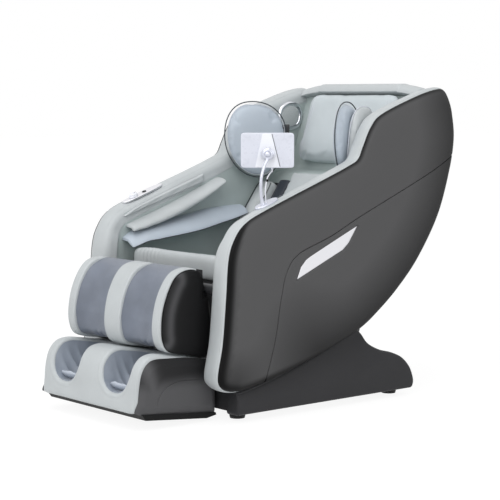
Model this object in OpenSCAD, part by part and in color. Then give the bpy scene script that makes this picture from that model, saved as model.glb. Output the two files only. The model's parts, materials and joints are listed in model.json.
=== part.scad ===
// Massage chair: a tilting shell on a floor base, with a lifting leg rest.
// Millimetres, +Z up. The sitter looks along -Y and +X is the sitter's left.
// The origin is on the floor, under the middle of the whole chair.

/* [Shell] */
// Outside width over the two side panels
shell_w = 810; // [780:5:850]
// Front edge of the side panels, ahead of the origin
shell_front = 423; // [410:1:435]
// Rear edge of the side panels, behind the origin
shell_rear = 668; // [655:1:690]
// Lowest edge of the side panels above the floor
shell_bottom = 110; // [104:1:120]
// Highest edge of the side panels above the floor
shell_top = 1095; // [1080:1:1120]
// Height of the arm where it turns down at the front
arm_h = 657; // [645:1:670]
// Height of the arm at the foot of the shoulder
shoulder_h = 836; // [825:1:850]
// Place of the shoulder behind the origin
shoulder_y = 182; // [170:1:195]
// Depth of a side panel, from its rim to its outer face
panel_t = 21; // [20:1:26]
// Wall of a side panel at its rounded edge
panel_skin = 5; // [4:0.5:6]
// Open seam between the two pieces of a side panel
seam_gap = 2; // [1:0.5:3]
// Width of the padded trim hoop inside a side panel
trim_w = 64; // [60:1:70]
// Wall of the trim hoop
trim_t = 10; // [8:1:12]
// Thickness of the inner side walls
wall_t = 8; // [6:0.5:10]
// Thickness of the rear shell
rear_t = 6; // [4:0.5:7]
// Thickness of the bare silver plate in each side panel
plate_t = 2.5; // [2:0.5:3]

/* [Seat and back] */
// Angle of the back above the floor
back_angle = 54.5; // [53:0.5:56]
// Length of the straight part of the back
back_len = 247; // [235:1:255]
// Thickness of the moulded pan under the pads
pan_t = 6; // [4:0.5:8]
// Thickness of the seat cushion
seat_pad_t = 70; // [55:1:75]
// Thickness of the middle back pad
back_pad_t = 42; // [34:1:48]
// Half width of the middle back pad
back_pad_half = 170; // [160:1:175]
// Width of a dark fabric strip beside the back pad
strip_w = 60; // [50:1:64]
// Thickness of the head cushion
head_pad_t = 56; // [48:1:60]
// Width of the head cushion
head_pad_w = 480; // [440:5:500]
// Inward turn of a shoulder pad, seen from above
wing_turn = 24.5; // [22:0.5:27]
// Thickness of a shoulder pad
wing_t = 34; // [28:1:38]
// Radius of the pin that a shoulder pad turns on
wing_pin_r = 4; // [3:0.5:5]

/* [Massage gear] */
// Depth of a roller rail behind the pan
rail_d = 34; // [30:1:38]
// Wall of a roller rail
rail_wall = 5; // [4:0.5:6]
// Travel of the roller carriage up the back
roller_travel = 120; // [90:5:125]
// Radius of a kneading wheel
knead_r = 30; // [26:1:32]
// Width of a kneading wheel
knead_w = 26; // [20:1:30]
// Radius of the kneading shaft
knead_shaft_r = 7; // [6:0.5:9]

/* [Controls] */
// Radius of the control knob
knob_r = 17; // [14:0.5:20]
// Height of the control knob
knob_h = 13; // [10:0.5:18]
// Travel of the push button
button_travel = 1.5; // [1:0.25:2]
// Width of the tablet
tablet_w = 176; // [160:1:184]
// Height of the tablet
tablet_h = 116; // [106:1:124]
// Thickness of the tablet
tablet_t = 12; // [9:0.5:14]
// Radius of the tablet stalk
stalk_r = 5; // [4:0.5:6]

/* [Leg rest] */
// Half width of the calf box over its ridges
calf_half = 262; // [255:1:264]
// Width of an outer ridge
ridge_w = 40; // [34:1:44]
// Half width of the middle ridge
ridge_mid_half = 45; // [38:1:50]
// Depth of a calf well
calf_well_d = 58; // [45:1:64]
// Thickness of a fabric liner
liner_t = 11; // [9:0.5:13]
// Thickness of a black side cover of the leg rest
pod_t = 13; // [10:0.5:15]
// Travel of the foot box away from the calf box
foot_travel = 120; // [90:5:125]
// Radius of a foot slide rod
slide_rod_r = 8; // [7:0.5:9]

/* [Base] */
// Width of a base cover
base_cover_w = 59.5; // [54:0.5:66]
// Front end of the base, ahead of the origin
base_front = 324; // [318:1:330]
// Rear end of the base, behind the origin
base_rear = 496; // [488:1:504]
// Clearance of the base covers above the floor
base_clear = 25; // [20:1:30]
// Height of the base covers at their peak
base_peak_h = 262; // [256:1:266]
// Height of the tilt pivot above the floor
tilt_h = 205; // [198:1:210]
// Radius of the tilt pins
tilt_pin_r = 10; // [8:0.5:12]
// Height of a rubber foot
foot_h = 30; // [27:1:31]
// Radius of a rubber foot
rubber_r = 27; // [24:1:29]

/* [Hidden] */
$fn = 48;

// Fits: beside a soft piece, around a turning pin, and between bodies
soft_gap = 0.3;
run_gap = 0.05;
body_gap = 0.5;
eps = 1;

// ---- planes across the chair, from the middle outwards ----
side_x = shell_w / 2;
panel_x = side_x - panel_t;
trim_x = panel_x - trim_w;
wall_x = trim_x - wall_t;
frame_t = 8;
frame_x = wall_x - frame_t;
base_x = wall_x + body_gap;
base_side_x = base_x + base_cover_w;

// ---- curves ----
function lerp(a, b, t) = a + (b - a) * t;
function unit(v) = v / norm(v);
function left_of(v) = [-v[1], v[0]];
function spline(p0, p1, p2, p3, t) = 0.5 * (2 * p1 + (p2 - p0) * t
    + (2 * p0 - 5 * p1 + 4 * p2 - p3) * t * t + (3 * p1 - p0 - 3 * p2 + p3) * t * t * t);

// Smooth closed line through the points, with so many steps to each
function closed_curve(p, steps) = let(n = len(p)) [for (i = [0:n - 1]) for (k = [0:steps - 1])
    spline(p[(i + n - 1) % n], p[i], p[(i + 1) % n], p[(i + 2) % n], k / steps)];

// Smooth open line through the points, from the first to the last
function open_curve(p, steps) = let(n = len(p)) concat([for (i = [0:n - 2]) for (k = [0:steps - 1])
    spline(p[max(i - 1, 0)], p[i], p[i + 1], p[min(i + 2, n - 1)], k / steps)], [p[n - 1]]);

// A closed line that runs counter-clockwise, drawn in by d
function inset(c, d) = let(n = len(c)) [for (i = [0:n - 1])
    c[i] + d * unit(left_of(c[(i + 1) % n] - c[(i + n - 1) % n]))];

// An open line moved to its left by d
function beside(c, d) = let(n = len(c)) [for (i = [0:n - 1])
    c[i] + d * unit(left_of(c[min(i + 1, n - 1)] - c[max(i - 1, 0)]))];

function reversed(c) = [for (i = [len(c) - 1:-1:0]) c[i]];

// The outline of a band between two lines beside an open line
function ribbon(c, d0, d1) = concat(beside(c, d0), reversed(beside(c, d1)));

// A signed power, for rounded boxes
function spow(v, e) = sign(v) * pow(abs(v), e);

// Six times the volume that the faces enclose, with its sign
function enclosed(p, faces) = let(v = [for (f = faces) p[f[0]] * cross(p[f[1]],
    p[f[2]])]) v * [for (x = v) 1];

function mean(p) = [for (k = [0:2]) [for (q = p) q[k]] * [for (q = p) 1] / len(p)];

// Closed solid through rings of points, all with the same count. Its ends close round their
// middles, or, where a ring is a band there and back, across the band
module loft(rings, band = false) {
    n = len(rings);
    m = len(rings[0]);
    points = concat([for (r = rings) each r], band ? [] : [mean(rings[0]), mean(rings[n - 1])]);
    sides = [for (i = [0:n - 2]) for (j = [0:m - 1])
        let(a = i * m + j, b = i * m + (j + 1) % m) each [[a, b + m, b], [a, a + m, b + m]]];
    end = (n - 1) * m;
    first = band ? [for (j = [0:m / 2 - 2]) each [[j, j + 1, m - 1 - j], [j + 1, m - 2 - j, m - 1 - j]]]
        : [for (j = [0:m - 1]) [n * m, j, (j + 1) % m]];
    last = band ? [for (j = [0:m / 2 - 2]) each [[end + j + 1, end + j, end + m - 1 - j],
            [end + m - 2 - j, end + j + 1, end + m - 1 - j]]]
        : [for (j = [0:m - 1]) [n * m + 1, end + (j + 1) % m, end + j]];
    faces = concat(sides, first, last);
    polyhedron(points, enclosed(points, faces) > 0 ? [for (f = faces) reversed(f)] : faces);
}

// Slab across the chair from x0 to x1 with an outline in Y and Z
module slab(x0, x1, outline) {
    rotate([90, 0, 90]) translate([0, 0, x0]) linear_extrude(x1 - x0) polygon(outline);
}

// Round bar across the chair
module cross_bar(x0, x1, at, r) {
    translate([x0, at[0], at[1]]) rotate([0, 90, 0]) cylinder(r = r, h = x1 - x0);
}

// Box between two corners
module box(low, high) {
    translate(low) cube(high - low);
}

// A piece and its mirror image on the sitter's right
module both_sides() {
    children();
    mirror([1, 0, 0]) children();
}

// Cushion on the line of a pan: the line is its underside, and its top crowns to t
module line_pad(line, x_mid, half, t, crown, lift) {
    n = len(line);
    m = 16;
    up = beside(line, 1);
    rings = [for (i = [0:n - 1])
        let(s = 2 * i / (n - 1) - 1, e = pow(1 - pow(abs(s) * 0.995, 8), 1 / 8),
            normal = unit(up[i] - line[i]))
        [for (j = [0:m - 1])
            let(a = 360 * j / m, w = half * (0.9 + 0.1 * e) * spow(cos(a), 0.45), q = spow(sin(a), 0.5),
                h = lift + t * (0.5 + 0.5 * q * e) * (q > 0 ? 1 - crown + crown * (1 - pow(w / half,
                    2)) : 1),
                p = line[i] + normal * h)
            [x_mid + w, p[0], p[1]]]];
    loft(rings);
}

// Pillow on the XY plane, centred: a star-shaped outline that crowns both ways to t
module pillow(outline, t, steps) {
    rings = [for (k = [0:steps])
        let(a = -80 + 160 * k / steps, s = pow(cos(a), 0.5), z = t / 2 * sin(a) / sin(80))
        [for (p = outline) [p[0] * s, p[1] * s, z]]];
    loft(rings);
}

// Rounded-box outline, n points
function round_box(w, h, n, e) = [for (j = [0:n - 1])
    let(a = 360 * j / n) [w / 2 * spow(cos(a), e), h / 2 * spow(sin(a), e)]];

// ---- shell outline, counter-clockwise from the low front corner ----
F = -shell_front;
R = shell_rear;
B = shell_bottom;
T = shell_top;
shell_points = [[F, B + 55], [F + 16, B + 16], [F + 58, B], [F + 118, B + 3], [F + 255, B + 32],
    [F + 343, B + 56], [F + 479, B + 99], [R - 467, B + 154], [R - 376, B + 209], [R - 278, B + 285],
    [R - 179, B + 385], [R - 79, B + 533], [R - 20, T - 290], [R, T - 179], [R - 10, T - 95],
    [R - 27, T - 40], [R - 50, T - 7], [R - 85, T - 1], [R - 187, T - 25], [shoulder_y + 127, T - 87],
    [shoulder_y + 72, T - 133], [shoulder_y + 35, shoulder_h + 60], [shoulder_y + 12, shoulder_h + 18],
    [shoulder_y - 30, shoulder_h - 3], [shoulder_y - 129, shoulder_h - 40], [F + 210, arm_h + 44],
    [F + 113, arm_h], [F + 67, arm_h - 53], [F + 45, arm_h - 117], [F + 35, arm_h - 237],
        [F + 21, B + 163]];
shell_line = closed_curve(shell_points, 3);

// How far each layer is drawn in from the panel's edge
panel_round_1 = 7;
panel_round_2 = 20;
trim_set = 3;
trim_step_w = 18;
trim_inner_set = 13;
wall_set = trim_inner_set + 5;

// Seam between the front strip and the main part of a side panel
seam_line = open_curve([[F + 183, B - 30], [F + 198, B + 42], [F + 233, B + 175], [F + 254, B + 289],
    [F + 280, B + 380], [F + 333, B + 436], [F + 477, B + 487], [R - 475, B + 548], [R - 133, B + 688],
    [R + 60, B + 784]], 4);
function strip_zone(d) = concat(beside(seam_line, -d),
    [[R + 60, T + 200], [F - 200, T + 200], [F - 200, B - 30]]);

// Outline of the bare silver plate
plate_line = [[F + 324, B + 350], [F + 533, B + 437], [F + 560, B + 459], [F + 584, B + 492],
    [F + 602, B + 518], [F + 386, B + 426], [F + 364, B + 414], [F + 342, B + 392]];
plate_mid = [F + 463, B + 434];
plate_room = 1.045;

// Lower rear part of the shell, where the rear shell closes it
skirt_y = F + 150;
rear_top_z = T - 75;
rear_zone = [[skirt_y, 0], [skirt_y, B + 60], [0, B + 400], [R - 230, T - 290], [R - 110, rear_top_z - 20],
    [R + 100, rear_top_z + 20], [R + 100, 0]];
belly_y = 310;

// ---- seat and back line: the face of the pan, from the seat front up to the head ----
back_dir = [cos(back_angle), sin(back_angle)];
back_low = [250, 536];
back_high = back_low + back_len * back_dir;
seat_front_y = F + 140;
pan_seat = open_curve([[seat_front_y, 450], [-150, 440], [0, 415], [110, 396], [185, 428], back_low], 4);
head_low = back_high + [112, 58];
head_dir = unit([85, 270]);
// Depth of the pan's top end under the shell's top
head_drop = 28;
head_len = (T - head_drop - head_low[1]) / head_dir[1];
head_high = head_low + head_len * head_dir;
pan_head = open_curve([back_high, back_high + [34, 34], head_low - [30, 12], head_low,
    head_low + 60 * head_dir, head_high], 4);
pan_line = concat(pan_seat, pan_head);
roll_len = 45;
slot_half = 118;

// Evenly spaced points from a to b
function straight(a, b, n) = [for (i = [0:n]) lerp(a, b, i / n)];

// Local frame on the straight part of the back: +Z runs up the back, -Y points at the sitter
module on_back(s) {
    at = back_low + s * back_dir;
    translate([0, at[0], at[1]]) rotate([back_angle - 90, 0, 0]) children();
}

// ---- pivots ----
tilt_at = [240, tilt_h];
leg_at = [F + 63, 440];
leg_shaft_r = 8;
leg_tube_r = 15;

// ---- arm line, where the controls stand ----
arm_a = [F + 210, arm_h + 44];
arm_b = [shoulder_y - 129, shoulder_h - 40];
arm_dir = unit(arm_b - arm_a);
arm_angle = atan2(arm_dir[1], arm_dir[0]);
// Height of the shell line over the arm's chord, at its highest between two distances along it
function arm_rise(low, high) = max([for (p = shell_line)
    let(q = p - arm_a, s = q * arm_dir) if (s > low && s < high) q * left_of(arm_dir)]);
arm_margin = 20;
control_x = panel_x - 34;

// Local frame on top of an arm, where a plate from y0 to y1 rests: +Y runs up the arm, +Z stands off it
module on_arm(x, along, y0, y1) {
    rise = arm_rise(along + y0 - arm_margin, along + y1 + arm_margin) - trim_set + soft_gap;
    at = arm_a + along * arm_dir + rise * left_of(arm_dir);
    translate([x, at[0], at[1]]) rotate([arm_angle, 0, 0]) children();
}

// ================= base =================
// It follows the shell's lower edge a little below it, and peaks at the tilt pins
base_line = concat(
    open_curve([[-base_front, B - 6], [F + 170, B + 6], [F + 255, B + 25], [F + 343, B + 48],
    [F + 479, B + 90], [F + 560, B + 121], [tilt_at[0] - 45, base_peak_h - 14],
    [tilt_at[0], base_peak_h]], 3),
    open_curve([[tilt_at[0] + 22, base_peak_h - 22], [tilt_at[0] + 46, 204], [333, 178],
    [base_rear - 112, 164], [base_rear - 60, 141], [base_rear - 20, 104], [base_rear, 58],
    [base_rear - 10, base_clear]], 3),
    [[-base_front, base_clear]]);
// base_line runs clockwise, so its reverse is drawn in
base_loop = reversed(base_line);
beam_set = 9;
beam_t = 14;
beam_wall = 4;
beam_x = base_x + beam_t;
ridge_line = [[-base_front - 50, 73], [-186, 70], [-7, 75], [179, 95], [275, 123], [base_rear + 60, 165],
    [base_rear + 60, -10], [-base_front - 50, -10]];
front_beam_y = -255;
rear_beam_y = 453;
motor_beam_y = -60;
beam_half = 20;
beam_low = foot_h;
beam_high = 70;

module base_frame() {
    color("dimgray") union() {
        both_sides() difference() {
            slab(base_x, beam_x, inset(base_loop, beam_set));
            cross_bar(base_x - eps, beam_x + eps, tilt_at, tilt_pin_r + run_gap);
        }
        for (y = [front_beam_y, rear_beam_y]) difference() {
            box([-base_x, y - beam_half, beam_low + 5], [base_x, y + beam_half, beam_high]);
            box([-base_x + 60, y - beam_half + beam_wall, beam_low + 5 + beam_wall],
                [base_x - 60, y + beam_half - beam_wall, beam_high - beam_wall]);
        }
        both_sides() for (y = [front_beam_y, rear_beam_y])
            box([base_x - 2 * rubber_r, y - beam_half, beam_low], [base_x, y + beam_half, beam_low + 5]);
        box([-base_x, motor_beam_y - beam_half, beam_low + 5], [base_x, motor_beam_y + beam_half, 48]);
        for (x = [-24, 16])
            motor_ear(x, 8, tilt_foot, 48);
        box([-base_x, rear_beam_y - 150, beam_low + 5], [base_x, rear_beam_y - beam_half, beam_low + 9]);
    }
}

// Upright ear with a bore, standing on a beam
module motor_ear(x, t, at, floor_z) {
    difference() {
        union() {
            box([x, at[0] - 14, floor_z - 1], [x + t, at[0] + 14, at[1]]);
            cross_bar(x, x + t, at, 14);
        }
        cross_bar(x - eps, x + t + eps, at, motor_pin_r + run_gap);
    }
}

module base_cover() {
    color([0.2, 0.2, 0.21]) difference() {
        union() {
            slab(base_x, base_side_x - 16, base_loop);
            intersection() {
                slab(base_x, base_side_x, inset(base_loop, 1));
                slab(base_x, base_side_x, ridge_line);
            }
        }
        slab(base_x - eps, beam_x, inset(base_loop, beam_set - soft_gap));
    }
}

module base_front_cover() {
    y = -base_front + 6;
    w = base_x - soft_gap;
    color([0.16, 0.16, 0.17]) union() {
        box([-w, y, base_clear + 9], [w, y + 4, 95]);
        box([-w, y, 91], [w, front_beam_y + beam_half, 95]);
        box([-w, front_beam_y - 4, beam_high], [w, front_beam_y, 95]);
    }
}

module rubber_feet() {
    color([0.08, 0.08, 0.08]) both_sides() for (y = [front_beam_y, rear_beam_y]) {
        translate([base_x - rubber_r - 2, y, 0]) cylinder(r1 = rubber_r - 2, r2 = rubber_r, h = 8);
        translate([base_x - rubber_r - 2, y, 8]) cylinder(r = rubber_r, h = foot_h - 8);
    }
}

// ---- power supply on the rear tray ----
power_low = [-110, rear_beam_y - 140, beam_low + 9];
power_high = [110, rear_beam_y - beam_half - 2, 112];
inlet_x = -60;
inlet_z = 92;
inlet_w = 30;
inlet_h = 22;
switch_x = -20;
switch_w = 14;
switch_h = 20;

module power_box() {
    color([0.35, 0.36, 0.38]) difference() {
        box(power_low, power_high);
        box([inlet_x - inlet_w / 2, power_high[1] - 18, inlet_z - inlet_h / 2],
            [inlet_x + inlet_w / 2, power_high[1] + eps, inlet_z + inlet_h / 2]);
        box([switch_x - switch_w / 2, power_high[1] - 18, inlet_z - switch_h / 2],
            [switch_x + switch_w / 2, power_high[1] + eps, inlet_z + switch_h / 2]);
    }
}

module power_inlet() {
    color([0.1, 0.1, 0.1]) difference() {
        box([inlet_x - inlet_w / 2, power_high[1] - 18, inlet_z - inlet_h / 2],
            [inlet_x + inlet_w / 2, power_high[1] + 3, inlet_z + inlet_h / 2]);
        box([inlet_x - 11, power_high[1] - 12, inlet_z - 7.5],
            [inlet_x + 11, power_high[1] + 3 + eps, inlet_z + 7.5]);
        for (x = [-7, 0, 7])
            box([inlet_x + x - 1, power_high[1] - 15, inlet_z - 3],
                [inlet_x + x + 1, power_high[1] - 11, inlet_z + 3]);
    }
}

// Rocker that turns about X inside its cut-out
rocker_gap = 0.8;
rocker_r = switch_h / 2 - rocker_gap;
rocker_at = [power_high[1] - rocker_r + 2, inlet_z];

module power_switch() {
    color([0.6, 0.1, 0.1]) intersection() {
        cross_bar(switch_x - switch_w / 2 + body_gap / 2, switch_x + switch_w / 2 - body_gap / 2,
            rocker_at, rocker_r);
        box([switch_x - switch_w, rocker_at[0] - rocker_r, inlet_z - rocker_r],
            [switch_x + switch_w, rocker_at[0] + rocker_r, inlet_z + rocker_r]);
    }
}

// ---- linear actuators: a motor with its tube, and a rod that pushes a cross bar ----
motor_pin_r = 6;
tube_r = 15;
rod_r = 9;
tube_from = 22;
tilt_foot = [motor_beam_y, 62];
tilt_bar = [0, 300];
tilt_bar_r = 15;
leg_foot = [F + 353, 300];
leg_bar = leg_at - [0, 110];
leg_bar_r = 10;
tilt_tube_len = 150;
leg_tube_len = 175;

// Frame with +Z along an actuator, from its foot towards its bar
module along(foot, bar) {
    v = bar - foot;
    translate([0, foot[0], foot[1]]) rotate([atan2(v[1], v[0]) - 90, 0, 0]) children();
}

module actuator_tube(foot, bar, tube_len) {
    along(foot, bar) difference() {
        union() {
            translate([0, 0, tube_from]) cylinder(r = tube_r, h = tube_len);
            translate([-tube_r, 0, tube_from]) cube([2 * tube_r, 58, 44]);
            translate([-15, -12, -4]) cube([30, 24, tube_from + 5]);
            rotate([0, 90, 0]) translate([0, 0, -26]) cylinder(r = motor_pin_r, h = 52);
        }
        translate([0, 0, tube_from + 6]) cylinder(r = rod_r + run_gap, h = tube_len);
    }
}

module actuator_rod(foot, bar, bar_r) {
    tip = norm(bar - foot) - bar_r - soft_gap;
    along(foot, bar) union() {
        translate([0, 0, tube_from + 8]) cylinder(r = rod_r, h = tip - tube_from - 12);
        translate([0, 0, tip - 6]) cylinder(r = rod_r + 3, h = 6);
    }
}

module tilt_motor() {
    color([0.25, 0.26, 0.28]) actuator_tube(tilt_foot, tilt_bar, tilt_tube_len);
}

module tilt_rod() {
    color("silver") actuator_rod(tilt_foot, tilt_bar, tilt_bar_r);
}

module leg_motor() {
    color([0.25, 0.26, 0.28]) actuator_tube(leg_foot, leg_bar, leg_tube_len);
}

module leg_rod() {
    color("silver") actuator_rod(leg_foot, leg_bar, leg_bar_r);
}

// ================= tilting shell =================
frame_line = closed_curve([[F + 70, 456], [leg_at[0] - 14, leg_at[1]], [leg_at[0], leg_at[1] - 16],
    [F + 110, 400], [F + 150, 300], [F + 300, 215], [80, 240], [190, 232], [tilt_at[0] - 26, tilt_h],
    [tilt_at[0], tilt_h - 26], [tilt_at[0] + 26, tilt_h], [300, 335], [293, 398], [190, 390],
    [120, 375], [0, 395], [-150, 420], [F + 145, 432]], 3);

module seat_frame() {
    color([0.3, 0.31, 0.33]) union() {
        both_sides() difference() {
            slab(frame_x, wall_x, frame_line);
            cross_bar(frame_x - eps, wall_x + eps, tilt_at, tilt_pin_r + run_gap / 2);
            cross_bar(frame_x - eps, wall_x + eps, leg_at, leg_shaft_r + run_gap / 2);
        }
        cross_bar(-frame_x, frame_x, tilt_bar, tilt_bar_r);
        cross_bar(-frame_x, frame_x, [F + 180, 400], 12);
        cross_bar(-frame_x, frame_x, [270, 370], 12);
        box([-frame_x, leg_foot[0] - 16, leg_foot[1] - 46], [frame_x, leg_foot[0] + 16, leg_foot[1] - 30]);
        for (x = [-24, 16])
            motor_ear(x, 8, leg_foot, leg_foot[1] - 30);
        // uprights behind the pan carry the roller rails and the head end
        both_sides() for (s = [40, back_len - 10])
            on_back(s) box([170, pan_t + soft_gap, -12], [wall_x, pan_t + 24, 12]);
        both_sides() on_back(28) box([rail_x1, pan_t + soft_gap, 0],
            [rail_x1 + 8, pan_t + rail_d, back_len - 28]);
    }
}

module pivot_shafts() {
    color("gainsboro") union() {
        both_sides() cross_bar(frame_x, beam_x, tilt_at, tilt_pin_r);
        cross_bar(-wall_x, wall_x, leg_at, leg_shaft_r);
    }
}

module seat_pan() {
    color([0.22, 0.22, 0.24]) difference() {
        slab(-wall_x, wall_x, ribbon(pan_line, 0, -pan_t));
        on_back(slot_s0) box([-slot_half, -eps, 0], [slot_half, pan_t + eps, slot_s1 - slot_s0]);
    }
}

// ---- side panel, an outward tray in three steps ----
module panel_tray() {
    difference() {
        union() {
            slab(panel_x, side_x - panel_round_1 - panel_skin, shell_line);
            slab(panel_x, side_x - panel_skin, inset(shell_line, panel_round_1));
            slab(panel_x, side_x, inset(shell_line, panel_round_2));
        }
        slab(panel_x - eps, side_x - 2 * panel_skin, inset(shell_line, panel_round_1 + 3));
    }
}

module side_panel() {
    color([0.29, 0.29, 0.29]) difference() {
        panel_tray();
        slab(panel_x - eps, side_x + eps, strip_zone(seam_gap));
        slab(side_x - plate_t - body_gap, side_x + eps,
            [for (p = plate_line) lerp(plate_mid, p, plate_room)]);
    }
}

module side_strip() {
    color([0.31, 0.31, 0.31]) intersection() {
        panel_tray();
        slab(panel_x - eps, side_x + eps, strip_zone(0));
    }
}

module side_plates() {
    color([0.86, 0.86, 0.88]) both_sides()
        slab(side_x - plate_t - body_gap, side_x - body_gap, plate_line);
}

module side_trim() {
    color([0.72, 0.74, 0.74]) difference() {
        union() {
            slab(trim_x + trim_step_w, panel_x, inset(shell_line, trim_set));
            slab(trim_x, trim_x + trim_step_w + eps, inset(shell_line, trim_inner_set));
        }
        slab(trim_x - eps, panel_x + eps, inset(shell_line, trim_inner_set + trim_t));
        slab(trim_x - eps, panel_x + eps, rear_zone);
    }
}

module inner_wall() {
    color([0.55, 0.59, 0.57]) slab(wall_x, trim_x, inset(shell_line, wall_set));
}

// Hoop that closes the chair behind and below, with skirts under the trim
module back_shell() {
    color([0.2, 0.2, 0.21]) difference() {
        intersection() {
            slab(-panel_x, panel_x, inset(shell_line, trim_set));
            slab(-panel_x, panel_x, rear_zone);
        }
        slab(-panel_x - eps, panel_x + eps, inset(shell_line, trim_set + rear_t));
        box([-wall_x, skirt_y - eps, 0], [wall_x, belly_y, B + 300]);
    }
}

// Padded cap between the trims, over the head end of the pan
hood_half = wall_x - soft_gap;
// Half width of the raised middle of the hood
hood_cap_half = 215;
hood_line = closed_curve([[head_high[0] - 12, head_high[1] + 4], [head_high[0] + 3, head_high[1] + 2.5],
    [head_high[0] + 12, head_high[1] - 9], [R - 40, T - 58], [R - 22, rear_top_z + 14],
    [R - 12, rear_top_z + 20], [R - 14, T - 45], [R - 30, T + 2], [R - 70, T + 16], [R - 115, T + 14],
    [head_high[0] - 30, T + 2],
    [head_high[0] - 30, T - 14]], 2);
hood_mid = [R - 60, T - 20];

module hood() {
    // lower shoulders on both sides of the raised middle
    side = [[hood_cap_half, 1], [hood_cap_half + 8, 0.94], [hood_half - 10, 0.94], [hood_half, 0.88]];
    ends = concat([for (e = reversed(side)) [-e[0], e[1]]], side);
    color([0.7, 0.73, 0.73])
        loft([for (e = ends) [for (p = hood_line) [e[0], each lerp(hood_mid, p, e[1])]]]);
}

// ---- soft pieces of the seat and back ----
seat_pad_front = seat_front_y + roll_len + 1;
pad_half = wall_x - soft_gap;

module seat_cushion() {
    line = open_curve([[seat_pad_front, 447], [-150, 440], [0, 415], [100, 398]], 4);
    color([0.63, 0.66, 0.68]) line_pad(line, 0, pad_half, seat_pad_t, 0.12, soft_gap);
}

module seat_front_roll() {
    mid = [seat_front_y + roll_len / 2 - 8, 491.9];
    rings = [for (k = [0:12])
        let(s = k / 6 - 1, e = pow(1 - pow(abs(s) * 0.99, 10), 0.1), pleat = 1 - 0.02 * abs(sin(900 * s)))
        [for (j = [0:15]) let(a = 360 * j / 15.999)
            [252 * s, mid[0] + roll_len / 2 * e * spow(cos(a), 0.6),
                mid[1] + 42.5 * e * pleat * spow(sin(a), 0.6)]]];
    color([0.74, 0.76, 0.76]) loft(rings);
}

back_line = straight(back_low + 6 * back_dir, back_low + (back_len + 30) * back_dir, 8);

module back_pad() {
    color([0.7, 0.72, 0.72]) line_pad(back_line, 0, back_pad_half - soft_gap, back_pad_t, 0.2, soft_gap);
}

module back_strips() {
    mid = back_pad_half + strip_w / 2;
    line = straight(back_low + 6 * back_dir, back_high + 4 * back_dir, 6);
    color([0.13, 0.15, 0.19]) both_sides()
        line_pad(line, mid, strip_w / 2 - soft_gap, back_pad_t * 0.62, 0.1, soft_gap);
}

bolster_low = back_pad_half + strip_w;

module back_bolsters() {
    mid = (bolster_low + pad_half) / 2;
    line = straight(back_low + 6 * back_dir, back_low + (back_len - 20) * back_dir, 7);
    color([0.68, 0.7, 0.71]) both_sides()
        line_pad(line, mid, (pad_half - bolster_low) / 2 - soft_gap, back_pad_t * 1.35, 0.25, soft_gap);
}

head_turn = atan2(head_dir[1], head_dir[0]) - 90;
head_pad_h = head_len - 13;
// Power of its superellipse outline: lower is squarer
head_pad_e = 0.34;

module head_cushion() {
    mid = (head_low + head_high) / 2;
    color([0.7, 0.73, 0.74]) translate([0, mid[0], mid[1]]) rotate([head_turn, 0, 0])
        translate([0, -head_pad_t / 2 - soft_gap, 4]) rotate([90, 0, 0])
        pillow(round_box(head_pad_w, head_pad_h, 24, head_pad_e), head_pad_t, 7);
}

// Leather block along the inside of the arm, over the arm channel
armrest_t = 12;
armrest_low_a = [F + 134, arm_h - 17];
armrest_low_b = arm_b + [18, -45];
armrest_top = beside(open_curve([[F + 131, arm_h + 7], [F + 210, arm_h + 44], arm_b + [12, 4]], 4),
    -wall_set - 2);
armrest_line = concat(straight(armrest_low_a, armrest_low_b, len(armrest_top) - 1), reversed(armrest_top));

module armrest_pads() {
    mid = (arm_a + arm_b) / 2 - [0, 42];
    color([0.72, 0.75, 0.75]) both_sides() loft([for (e = [[0, 1], [0.5, 0.995], [0.85, 0.985], [1, 0.96]])
        [for (p = armrest_line) [wall_x - soft_gap - armrest_t * e[0], each lerp(mid, p, e[1])]]],
            band = true);
}

// ---- arm channels: a curved lip over the forearm, and a sloping flap under it ----
lip_x = wall_x - soft_gap;

// Ring of the upper lip at y: an arc of an ellipse round (lip_x, z), t thick, from angle a0 to a1
function lip_ring(y, z, a, b, t, a0, a1) = let(n = 5) concat(
    [for (i = [0:n]) let(q = lerp(a0, a1, i / n))
        [min(lip_x, lip_x + (a + t / 2) * cos(q)), y, z + (b + t / 2) * sin(q)]],
    [for (i = [n:-1:0]) let(q = lerp(a0, a1, i / n))
        [min(lip_x, lip_x + (a - t / 2) * cos(q)), y, z + (b - t / 2) * sin(q)]]);

upper_front = F + 142;
// Where the flap meets the wall, front to rear, and how wide and how low its free edge is there
flap_line = open_curve([[F + 126, arm_h - 98], [F + 166, arm_h - 76], [F + 220, arm_h - 60],
    [F + 305, arm_h - 45], [F + 423, arm_h - 28], [F + 513, arm_h - 13], [F + 610, arm_h - 4],
    [F + 660, arm_h - 2]], 2);
flap_w = 92;
flap_t = 16;

module arm_channel_upper() {
    color([0.7, 0.73, 0.73]) both_sides() loft([for (k = [0:9])
        let(s = k / 9, y = upper_front + 420 * s, e = pow(sin(180 * lerp(0.08, 0.93, s)), 0.35))
        lip_ring(y, arm_h - 64 + 92 * s + 66 * s * s, 60 * (0.7 + 0.3 * e), 22 * e, 14 * e, 90, 205)],
            band = true);
}

// The flap's section at a point of flap_line, from the wall over a low crown to its free edge
function flap_ring(p, e) = let(n = 5, w = flap_w * (0.45 + 0.55 * e), drop = 46 * e) concat(
    [for (i = [0:n]) let(q = i / n)
        [lip_x - w * q, p[0], p[1] - drop * q + 9 * sin(180 * q) + flap_t * e / 2 * sqrt(1 - q * q * 0.9)]],
    [for (i = [n:-1:0]) let(q = i / n)
        [lip_x - w * q, p[0], p[1] - drop * q + 9 * sin(180 * q) - flap_t * e / 2 * sqrt(1 - q * q * 0.9)]]);

module arm_channel_lower() {
    n = len(flap_line) - 1;
    color([0.68, 0.71, 0.76]) both_sides() loft([for (k = [0:n])
        flap_ring(flap_line[k], pow(sin(180 * lerp(0.08, 0.94, k / n)), 0.4))], band = true);
}

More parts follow.
